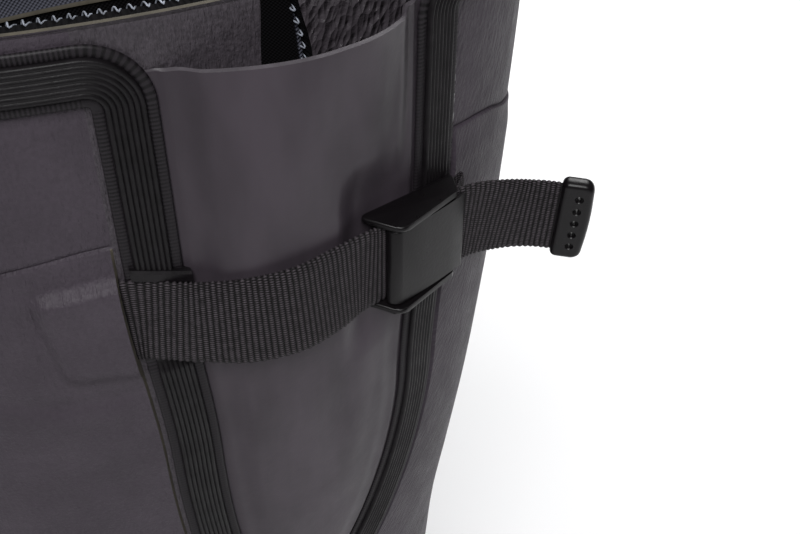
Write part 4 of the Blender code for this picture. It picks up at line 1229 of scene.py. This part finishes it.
def gusset_face(around, depth):
    """Lift of the gusset's outer face: it lies flat under the tape's edges and swells between them."""
    front, rear = gusset_edge(depth, 1), gusset_edge(depth, -1)
    inset = np.minimum(front - around, around - rear)
    rise = GAP + GUSSET_SHEET - GUSSET_EDGE_LIFT
    flat = GUSSET_EDGE_LIFT + rise * smoothstep(inset / GUSSET_EDGE_RUN + 0.5)
    eased = gusset_swell(around, depth) * smoothstep((inset - GUSSET_SWELL_START) / GUSSET_SWELL_RUN)
    creases = crease_lift(GUSSET_CREASES, around, depth) * smoothstep(inset / GUSSET_CREASE_RUN)
    return flat + eased + creases


def build_gusset(material, rim):
    """Rubber sheet that swells off the shaft between the tapes, with a rounded top edge."""
    across = np.linspace(0.0, 1.0, GUSSET_COLUMNS)
    first, second = GUSSET_FIRST_ROWS
    rows_below = np.arange(second, GUSSET_SHEET_LOW - GUSSET_TOP_DEPTH, GUSSET_ROW)
    depths = np.concatenate(([first], rows_below)) + GUSSET_TOP_DEPTH
    outer, inner, places = [], [], []
    for depth in depths:
        front, rear = (gusset_edge(depth, side) + side * GUSSET_TUCK for side in (1, -1))
        around = rear + (front - rear) * across
        lift = gusset_face(around, depth)
        sheet = np.minimum(GUSSET_SHEET, lift - GUSSET_FLOOR)
        outer.append(on_shaft(around, depth, lift))
        inner.append(on_shaft(around, depth, lift - sheet))
        places.append(np.stack((around, np.full(len(across), depth)), axis=1) / UV_UNIT)
    top = (np.array(outer[0]) + np.array(inner[0])) / 2.0 + np.array((0.0, 0.0, first))
    loops = np.array(inner[::-1] + [top] + outer)
    uv = np.array(places[::-1] + [places[0]] + places).reshape(-1, 2)
    rows, columns = loops.shape[:2]
    faces = grid_faces(rows, columns, close_rows=True)
    index = np.zeros(faces.shape[:2], int)
    index[len(inner) - 1 : len(inner) + 1] = 1
    quads, indices = faces.reshape(-1, 4).tolist(), index.ravel().tolist()
    for column in (0, columns - 1):
        for row in range(len(inner)):
            mirror = rows - 1 - row
            corners = (row, row + 1, mirror - 1, mirror)
            quads.append([cell * columns + column for cell in dict.fromkeys(corners)])
            indices.append(0)
    piece = add_mesh("gusset_sheet", loops.reshape(-1, 3), quads, [material, rim], indices, uv)
    return finish_piece(piece, "gusset_rubber", "gusset")


def tape_profile(tooth):
    """Ribs of the tape between its two flanges, as (across, lift). tooth: 1 on a tooth, 0 between."""
    edge = []
    for across, lift, toothed in TAPE_EDGE:
        edge.append((across, TAPE_SEAT + lift + TAPE_TOOTH_HEIGHT * tooth * toothed))
    ribs = []
    steps = TAPE_RIBS * TAPE_RIB_STEPS
    for step in range(steps + 1):
        across = TAPE_BAND_HALF * (1.0 - 2.0 * step / steps)
        swell = abs(math.sin(math.pi * step / TAPE_RIB_STEPS)) ** TAPE_RIB_FULLNESS
        ribs.append((across, TAPE_SEAT + TAPE_THICK - TAPE_RIB_HEIGHT + TAPE_RIB_HEIGHT * swell))
    return np.array(edge + ribs + [(-across, lift) for across, lift in edge[::-1]])


def build_tape(material, flange):
    """Ribbed tape round the gusset and the collar, with toothed flanges."""
    route = tape_route(TAPE_TOOTH / 2.0)
    points, normals = (on_shaft(route[:, 0], route[:, 1], lift) for lift in (0.0, 1.0))
    normals = normals - points
    aside = unit(np.cross(chords(points), normals))
    profiles = np.array([tape_profile(tooth) for tooth in (0, 1)])[np.arange(len(route)) % 2]
    corner_end = TAPE_COLLAR_DEPTH + TAPE_CORNER
    calm = 1.0 - (1.0 - COLLAR_RIB_SHARE) * smoothstep((corner_end - route[:, 1]) / TAPE_CORNER)
    ribs, crest = profiles[:, TAPE_EDGE_POINTS:-TAPE_EDGE_POINTS, 1], TAPE_SEAT + TAPE_THICK
    ribs[:] = crest - (crest - ribs) * calm[:, None]
    in_corner = (route[:, 1] > TAPE_COLLAR_DEPTH + LEVEL_TOLERANCE) & (route[:, 1] < corner_end)
    profiles[in_corner, -TAPE_EDGE_POINTS:] = profiles[:2, -TAPE_EDGE_POINTS:].mean(axis=0)
    start, stop = TAPE_PRESSED
    after_start = smoothstep((route[:, 1] - start) / TAPE_PRESSED_RUN)
    before_stop = smoothstep((stop - route[:, 1]) / TAPE_PRESSED_RUN)
    pressed = (after_start * before_stop * (route[:, 0] > 0.0))[:, None]
    flat = TAPE_PRESSED_SEAT + TAPE_PRESSED_SHARE * (profiles[..., 1] - TAPE_SEAT)
    profiles[..., 1] += (flat - profiles[..., 1]) * pressed
    loops = points[:, None] + aside[:, None] * profiles[..., :1] + normals[:, None] * profiles[..., 1:]
    faces = grid_faces(*loops.shape[:2], close_rows=True, close_columns=True)
    indices = np.zeros(faces.shape[:2], int)
    indices[:, : TAPE_EDGE_POINTS - 1] = 1
    indices[:, -TAPE_EDGE_POINTS:-1] = 1
    quads = faces.reshape(-1, 4).tolist()
    along = (np.arange(len(route)) - 0.5) * TAPE_TOOTH / 2.0
    along = np.repeat(along[:, None], profiles.shape[1], axis=1)
    along[in_corner, -TAPE_EDGE_POINTS:] = 0.0
    uv = np.stack((profiles[..., 0], along), axis=-1).reshape(-1, 2) / UV_UNIT
    points, materials = loops.reshape(-1, 3), [material, flange]
    piece = add_mesh("ribbed_tape", points, quads, materials, indices.ravel(), uv, TAPE_SHARP_ANGLE)
    return finish_piece(piece, "tape", "binding_tape")


def build_tape_stop(material):
    """Short black bar across the tape, above the strap."""
    around = np.linspace(*STOP_REACH, 24)
    slant = STOP_SLANT * (STOP_REACH[0] - around)
    profile = ((0.0, TAPE_SEAT), (0.0, STOP_LIFT - STOP_ROUNDING), (STOP_ROUNDING, STOP_LIFT))
    profile += tuple((STOP_WIDTH - across, lift) for across, lift in profile[::-1])
    rows = [on_shaft(around, STOP_TOP_DEPTH + slant + across, lift) for across, lift in profile]
    loops = np.array(rows).transpose(1, 0, 2)
    return finish_piece(add_band("tape_stop", loops, material, caps=True), "tape")


def buckle_axes():
    """Seat of the buckle on the shaft, with its ways back, out and up."""
    half = STRAP_WIDTH / 2.0
    seat = Vector(on_shaft(BUCKLE_AROUND, STRAP_DEPTH))
    ahead, behind = (Vector(on_shaft(BUCKLE_AROUND + side * 0.5, STRAP_DEPTH)) for side in (1, -1))
    high, low = (Vector(on_shaft(BUCKLE_AROUND, STRAP_DEPTH + side * half)) for side in (-1, 1))
    back = (behind - ahead).normalized()
    out = back.cross(high - low).normalized()
    return seat, back, out, out.cross(back)


BUCKLE_AXES = buckle_axes()


def buckle_point(along, out, up):
    seat, back_way, out_way, up_way = BUCKLE_AXES
    return seat + back_way * along + out_way * out + up_way * up


def strap_up(along):
    """The strap's way up beside the buckle: the buckle's own, leaning out towards the tip."""
    lean = np.interp(along, (BASE_REAR, TAIL[-1].along), (0.0, TAIL_LEAN))
    return BUCKLE_AXES[3] * math.cos(lean) + BUCKLE_AXES[2] * math.sin(lean)


def strap_keys():
    """Middle of the strap and its way up, from the anchor through the buckle to the tip."""
    keys = []
    for key in STRAP_KEYS:
        high = on_shaft(key.around, key.depth - STRAP_WIDTH / 2.0, key.high_lift - STRAP_THICK / 2.0)
        low = on_shaft(key.around, key.depth + STRAP_WIDTH / 2.0, key.low_lift - STRAP_THICK / 2.0)
        keys.append(((high + low) / 2.0, (high - low) / np.linalg.norm(high - low)))
    rise = (STRAP_OUT_REAR - STRAP_OUT_FRONT) / (BASE_REAR - BASE_FRONT)
    for along in np.linspace(BASE_FRONT, BASE_REAR, 5):
        out = STRAP_OUT_FRONT + rise * (along - BASE_FRONT)
        keys.append((buckle_point(along, out, 0.0), strap_up(along)))
    keys += [(buckle_point(tail.along, tail.out, -tail.drop), strap_up(tail.along)) for tail in TAIL]
    return [np.concatenate(key) for key in keys]


def strap_frames(step):
    """Point, way ahead, way up and way out at even steps along the strap's middle."""
    keys = strap_keys()
    levels = np.linspace(0.0, len(keys) - 1.0, STRAP_POINTS)
    curve = np.array([smooth_row(keys, level) for level in levels])
    length = gaps_along(curve[:, :3]).sum()
    route, up = np.split(spaced(curve, int(length / step) + 1), 2, axis=1)
    ahead = unit(np.gradient(route, axis=0))
    out = unit(np.cross(ahead, up))
    return route, ahead, np.cross(out, ahead), out


def ribbon(route, up, out, half_width, thick):
    """Loops of a ribbed webbing strip and its UV places."""
    along = np.arange(len(route)) * WEB_STEP
    rib = np.abs(np.sin(math.pi * along / WEB_RIB))
    face = np.linspace(-1.0, 1.0, WEB_POINTS)
    across = np.concatenate((face, face[::-1]))
    side = np.repeat((1.0, -1.0), WEB_POINTS)
    thin = 0.5 * thick * (1.0 - WEB_EDGE_THIN * np.abs(across) ** WEB_EDGE_POWER)
    width = half_width - WEB_EDGE_NOTCH * (1.0 - rib)
    aside = across * width[:, None]
    lift = side * (thin - WEB_RIB_HEIGHT * (1.0 - rib[:, None]))
    loops = route[:, None] + up[:, None] * aside[..., None] + out[:, None] * lift[..., None]
    uv = np.stack(np.broadcast_arrays(across[None, :] * half_width, along[:, None]), axis=-1) / UV_UNIT
    return loops, uv.reshape(-1, 2)


def build_strap(material):
    route, _, up, out = strap_frames(WEB_STEP)
    loops, uv = ribbon(route, up, out, STRAP_WIDTH / 2.0, STRAP_THICK)
    piece = add_band("strap_webbing", loops, material, caps=True, uv=uv, sharp=WEB_SHARP_ANGLE)
    return finish_piece(piece, "webbing", "strap")


def build_loop(material):
    """Webbing loop round the rear bar of the buckle's frame."""
    keys = [np.array(place) for place in LOOP_ROUTE + LOOP_ROUTE[:2]]
    levels = np.linspace(0.0, len(LOOP_ROUTE), LOOP_POINTS, endpoint=False)
    flat = np.array([smooth_row(keys, level) for level in levels])
    way = unit(chords(flat))
    aside = np.stack((-way[:, 1], way[:, 0]), axis=1)
    route = np.array([buckle_point(along, out, 0.0) for along, out in flat])
    back_way, out_way, up_way = (np.array(axis) for axis in BUCKLE_AXES[1:])
    out = aside[:, :1] * back_way + aside[:, 1:] * out_way
    up = np.broadcast_to(up_way, out.shape)
    loops, uv = ribbon(route, up, out, LOOP_HALF, LOOP_THICK)
    piece = add_band("keeper_loop", loops, material, uv=uv, sharp=WEB_SHARP_ANGLE)
    return finish_piece(piece, "webbing", "buckle_loop")


def rounded(corners, radii, steps=6):
    """Outline with its corners turned into arcs."""
    outline = []
    count = len(corners)
    for index, (corner, radius) in enumerate(zip(corners, radii)):
        here = Vector(corner)
        before = (Vector(corners[index - 1]) - here).normalized()
        after = (Vector(corners[(index + 1) % count]) - here).normalized()
        half_angle = before.angle(after) / 2.0
        reach = radius / math.tan(half_angle)
        centre = here + (before + after).normalized() * radius / math.sin(half_angle)
        start = here + before * reach - centre
        sweep = start.angle_signed(here + after * reach - centre)
        for step in range(steps + 1):
            outline.append(tuple(centre + Matrix.Rotation(-sweep * step / steps, 2) @ start))
    return outline


def circle(middle, radius, count):
    """Corners of a round outline."""
    turns = np.linspace(0.0, 2.0 * math.pi, count, endpoint=False)
    return [(middle[0] + radius * math.cos(turn), middle[1] + radius * math.sin(turn)) for turn in turns]


def add_prism(bm, outline, place, low, high, bevel=0.0):
    """Add an outline swept along a third way to a mesh in millimetres, with its two rims rounded."""
    rows = []
    for third in (low, high):
        rows.append([bm.verts.new(place(first, second, third)) for first, second in outline])
    caps = [bm.faces.new(rows[0]), bm.faces.new(rows[1][::-1])]
    count = len(outline)
    for index in range(count):
        beside = (index + 1) % count
        bm.faces.new((rows[0][index], rows[1][index], rows[1][beside], rows[0][beside]))
    if bevel:
        edges = [edge for cap in caps for edge in cap.edges]
        bmesh.ops.bevel(bm, geom=edges, offset=bevel, segments=3, profile=0.5, affect="EDGES")


def add_bmesh(name, bm, material):
    """Object from a mesh in millimetres, which is used up."""
    bmesh.ops.recalc_face_normals(bm, faces=bm.faces)
    bmesh.ops.scale(bm, vec=(MM, MM, MM), verts=bm.verts)
    mesh = bpy.data.meshes.new(name)
    bm.to_mesh(mesh)
    bm.free()
    mesh.materials.append(material)
    return link_mesh(name, mesh)


def build_buckle(material):
    """Cam buckle: frame of a base and two side plates, lever and pin."""
    bm = bmesh.new()
    plate = rounded(SIDE_PLATE, SIDE_PLATE_RADII)
    for low in (BUCKLE_HALF - PLATE, -BUCKLE_HALF):
        add_prism(bm, plate, buckle_point, low, low + PLATE, PLATE_BEVEL)
    inside = BUCKLE_HALF - PLATE / 2.0
    for front, rear in ((BASE_FRONT, LOOP_SLOT[0]), (LOOP_SLOT[1], BASE_REAR)):
        bar = ((front, BASE_LOW), (rear, BASE_LOW), (rear, BASE_HIGH), (front, BASE_HIGH))
        add_prism(bm, rounded(bar, (BAR_RADIUS,) * 4), buckle_point, -inside, inside)
    finish_piece(add_bmesh("buckle_body", bm, material), "plastic", "buckle_frame")
    bm = bmesh.new()
    add_prism(bm, rounded(LEVER, LEVER_RADII), buckle_point, -LEVER_HALF, LEVER_HALF, LEVER_BEVEL)
    finish_piece(add_bmesh("buckle_cam", bm, material), "plastic", "buckle_lever")
    bm = bmesh.new()
    end = BUCKLE_HALF - PIN_SET_BACK
    add_prism(bm, circle(PIN_AT, PIN_RADIUS, PIN_POINTS), buckle_point, -end, end, PIN_BEVEL)
    finish_piece(add_bmesh("buckle_axle", bm, material), "plastic", "buckle_pin")


def tip_outline(inset):
    """Outline of the strap's tip in its own plane, drawn in by an inset."""
    half, start, stop = TIP_WIDTH / 2.0 - inset, inset - TIP_OVERLAP, TIP_LENGTH - inset
    corners = ((start, -half), (stop, -half), (stop + TIP_CROWN, 0.0), (stop, half), (start, half))
    root, corner = TIP_ROOT_CORNER - inset, TIP_CORNER - inset
    return rounded(corners, (root, corner, TIP_CROWN_RADIUS, corner, root))


def tip_hole(index, spread):
    """One hole's rim in the plane of the tip."""
    across = (index - (TIP_HOLES - 1) / 2.0) * TIP_HOLE_PITCH
    return circle((TIP_HOLE_AT, across), TIP_HOLE_RADIUS + spread, HOLE_POINTS)


def build_tip(material):
    """Moulded end of the strap with a row of holes."""
    route, aheads, ups, outs = strap_frames(WEB_RIB)
    ahead, up, out = aheads[-1], ups[-1], outs[-1]
    origin = route[-1] + ahead * GAP
    walls = [[(tip_outline(inset), share) for inset, share in TIP_EDGE]]
    for index in range(TIP_HOLES):
        walls.append([(tip_hole(index, spread), share) for spread, share in TIP_HOLE_EDGE])
    points, faces, rims = [], [], ([], [])
    for wall in walls:
        columns = len(wall[0][0])
        quads = grid_faces(len(wall), columns, close_columns=True).reshape(-1, 4)
        faces += (quads + len(points)).tolist()
        first, last = len(points), len(points) + (len(wall) - 1) * columns
        for rim, start in zip(rims, (first, last)):
            rim.append(range(start, start + columns))
        for outline, share in wall:
            points += [(along, across, share * TIP_THICK / 2.0) for along, across in outline]
    wall_faces = len(faces)
    for rim in rims:
        members = [point for loop in rim for point in loop]
        numbers = {point: number for number, point in enumerate(members)}
        loops = [[numbers[point] for point in loop] for loop in rim]
        flat = [Vector(points[point][:2]) for point in members]
        edges = [(loop[at - 1], loop[at]) for loop in loops for at in range(len(loop))]
        filled = delaunay_2d_cdt(flat, edges, loops, FILL_WITH_HOLES, FILL_GRAIN)
        faces += [[members[filled[3][corner][0]] for corner in face] for face in filled[2]]
    points = np.array(points)
    placed = origin + points[:, :1] * ahead + points[:, 1:2] * up + points[:, 2:] * out
    piece = add_mesh("tip_moulding", placed, faces, [material])
    for face in piece.data.polygons[wall_faces:]:
        face.use_smooth = False
    return finish_piece(piece, "plastic", "strap_tip")


def base_z(x):
    """Underside of the sole between the lugs, with arch and toe spring."""
    arch = ARCH_LIFT * (1.0 - smoothstep((x - ARCH_END) / ARCH_RUN))
    return BASE_Z + arch + TOE_SPRING * np.clip((x - TOE_SPRING_X) / TOE_SPRING_RUN, 0.0, None) ** 2


def outline_reach(x, side):
    """How far the sole's edge lies from the middle line at a place along the foot."""
    edge = even_ring(1.0, SOLE_EDGE - LUG_SET_BACK, REACH_POINTS)
    half = edge[edge[:, 1] * side > 0.0]
    order = np.argsort(half[:, 0])
    return float(abs(np.interp(x, half[order, 0], half[order, 1])))


def add_lug(bm, x, y, length, width, turn):
    """One block of the tread, let into the sole; at the toe it follows the spring."""
    spring = float(base_z(x)) - BASE_Z if x > HEEL_BREAST_X else 0.0
    height = BASE_Z + LUG_EMBED
    slope = (float(base_z(x + 1.0)) - float(base_z(x - 1.0))) / 2.0 if spring > LEVEL_TOLERANCE else 0.0
    turned = Matrix.Rotation(-math.atan(slope), 4, "Y") @ Matrix.Rotation(turn, 4, "Z")
    placed = Matrix.Translation((x, y, spring + height / 2.0)) @ turned
    sized = placed @ Matrix.Diagonal((length, width, height, 1.0))
    lug = bmesh.ops.create_cube(bm, size=1.0, matrix=sized)
    edges = list({edge for vert in lug["verts"] for edge in vert.link_edges})
    bmesh.ops.bevel(bm, geom=edges, offset=LUG_BEVEL, segments=2, profile=0.5, affect="EDGES")


def add_lug_row(bm, x, length):
    """A middle block and an edge block on either side of it."""
    add_lug(bm, x, 0.0, length, 2.0 * LUG_CENTRE_HALF, 0.0)
    for side in (-1, 1):
        near = LUG_CENTRE_HALF + LUG_CHANNEL
        far = min(outline_reach(x + end * length / 2.0, side) for end in (-1, 1))
        if far - near > LUG_CHANNEL:
            add_lug(bm, x, side * (near + far) / 2.0, length, far - near, side * LUG_TURN)


def sole_loops(count):
    """Loops from the foot's seat, up inside the rim, over it, down the stepped side and in underneath."""
    seat = even_ring(0.0, OVERLAY + GAP, count)
    seat[:, 2] = seat_z(seat[:, 0])
    inner = even_ring(1.0, OVERLAY + GAP, count)
    middle = seat.mean(axis=0)
    loops = [middle + (seat - middle) * share for share in SEAT_SHARES]
    for loop in loops:
        loop[:, 2] = seat_z(loop[:, 0])
    loops += [seat, inner]
    for offset, height in SIDE_STEPS:
        step = even_ring(1.0, offset, count)
        step[:, 2] = seat_z(step[:, 0]) + height
        loops.append(step)
    for offset, lift in SOLE_UNDER:
        edge = even_ring(1.0, SOLE_EDGE + offset, count)
        edge[:, 2] = base_z(edge[:, 0]) + lift
        loops.append(edge)
    under = loops[-1]
    for share in UNDER_SHARES:
        loop = middle + (under - middle) * share
        loop[:, 2] = base_z(loop[:, 0])
        loops.append(loop)
    return loops


def build_sole(material):
    """Cupped sole with stepped side, heel block and lugs."""
    body = add_band("sole_body", sole_loops(SOLE_POINTS), material, caps=True)
    bm = bmesh.new()
    edge = even_ring(1.0, SOLE_EDGE - HEEL_SET_BACK, SOLE_POINTS)
    heel = [tuple(point[:2]) for point in edge if point[0] < HEEL_BREAST_X]
    add_prism(bm, heel, lambda x, y, z: (x, y, z), BASE_Z, BASE_Z + ARCH_LIFT + LUG_EMBED)
    for x in HEEL_LUG_ROWS:
        add_lug_row(bm, x, HEEL_LUG)
    for x in FORE_LUG_ROWS:
        add_lug_row(bm, x, FORE_LUG)
    tread = add_bmesh("sole_tread", bm, material)
    finish_piece(body, "sole_rubber", "outsole")
    finish_piece(tread, "sole_rubber")


def build_insole(material):
    """Cupped footbed with a rounded edge."""
    loops = []
    for offset, height in INSOLE_SIDE:
        loop = even_ring(0.0, offset - WALL - INSOLE_GAP, INSOLE_POINTS)
        loop[:, 2] = seat_z(loop[:, 0]) + GAP + height
        loops.append(loop)
    middle = loops[0].mean(axis=0)
    rim = loops[-1]
    for share in INSOLE_SHARES:
        loop = middle + (rim - middle) * share
        loop[:, 2] = seat_z(loop[:, 0]) + GAP + INSOLE_THICK - INSOLE_DISH * (1.0 - share**2)
        loops.append(loop)
    uv = np.array(loops)[..., :2].reshape(-1, 2) / UV_UNIT
    return finish_piece(add_band("footbed", loops, material, caps=True, uv=uv), "footbed", "insole")


def add_floor():
    mesh = bpy.data.meshes.new("floor")
    corners = [(x * FLOOR_HALF, y * FLOOR_HALF, 0.0) for x, y in ((-1, -1), (1, -1), (1, 1), (-1, 1))]
    mesh.from_pydata(corners, [], [(0, 1, 2, 3)])
    floor = bpy.data.objects.new("floor", mesh)
    mesh.materials.append(PLAIN["pale_floor"])
    bpy.context.scene.collection.objects.link(floor)
    floor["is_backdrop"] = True


# Lights: place and aim in metres, size of a side, power in watts, spread of a grid in degrees
Softbox = namedtuple("Softbox", "name at aim side power spread")
SOFTBOXES = (
    Softbox("key", (0.28, 0.70, 1.20), (0.0, 0.03, 0.34), 0.6, 12.5, 180.0),
    Softbox("back", (-0.85, -0.95, 1.50), (-0.62, -0.62, 0.0), 1.0, 13.5, 110.0),
)


def add_lights():
    for box in SOFTBOXES:
        data = bpy.data.lights.new(box.name, "AREA")
        data.shape = "SQUARE"
        data.size, data.energy = box.side, box.power
        data.spread = math.radians(box.spread)
        light = bpy.data.objects.new(box.name, data)
        light.location = box.at
        light.rotation_euler = (Vector(box.aim) - Vector(box.at)).to_track_quat("-Z", "Y").to_euler()
        light.visible_camera = False
        bpy.context.scene.collection.objects.link(light)
    world = bpy.data.worlds.new("studio")
    world.use_nodes = True
    background = world.node_tree.nodes["Background"]
    background.inputs["Color"].default_value = (1.0, 1.0, 1.0, 1.0)
    background.inputs["Strength"].default_value = WORLD_STRENGTH
    bpy.context.scene.world = world


def add_camera():
    turn, tilt, roll = (math.radians(angle) for angle in (CAMERA_TURN, CAMERA_TILT, CAMERA_ROLL))
    back = Vector((math.sin(turn) * math.cos(tilt), math.cos(turn) * math.cos(tilt), math.sin(tilt)))
    level = Vector((-math.cos(turn), math.sin(turn), 0.0))
    rise = level.cross(-back)
    right = level * math.cos(roll) + rise * math.sin(roll)
    up = rise * math.cos(roll) - level * math.sin(roll)
    data = bpy.data.cameras.new("camera")
    data.lens, data.sensor_width, data.sensor_fit = CAMERA_LENS, CAMERA_SENSOR, "HORIZONTAL"
    data.clip_start, data.clip_end = CAMERA_CLIP
    camera = bpy.data.objects.new("camera", data)
    place = (Vector(CAMERA_TARGET) + back * CAMERA_DISTANCE) * MM
    camera.matrix_world = Matrix.Translation(place) @ Matrix((right, up, back)).transposed().to_4x4()
    bpy.context.scene.collection.objects.link(camera)
    bpy.context.scene.camera = camera


add_camera()
add_floor()
add_lights()
LINING = knit_surface("lining", (0.0024, 0.0021, 0.0027), *COLLAR_KNIT)
FACING = knit_surface("facing", (0.070, 0.072, 0.092), *COLLAR_KNIT)
FOOTBED = knit_surface("footbed", (0.045, 0.048, 0.060), *FOOTBED_KNIT)
WEBBING = webbing_surface()
build_upper([rubber_surface(), strip_surface(), shiny_surface(), PLAIN["cut_edge"], LINING])
build_facing(FACING, PLAIN["cut_edge"])
build_stitches(PLAIN["thread"])
build_gusset(gusset_surface(), PLAIN["gusset_rim"])
build_tape(PLAIN["ribbed_tape"], flange_surface())
build_tape_stop(PLAIN["ribbed_tape"])
build_strap(WEBBING)
build_loop(WEBBING)
build_buckle(PLAIN["black_plastic"])
build_tip(PLAIN["black_plastic"])
build_sole(PLAIN["sole_rubber"])
build_insole(FOOTBED)
bpy.context.scene.view_settings.view_transform = "Standard"

[[list(corner) for corner in box] for box in (CAD_BOX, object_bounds())]
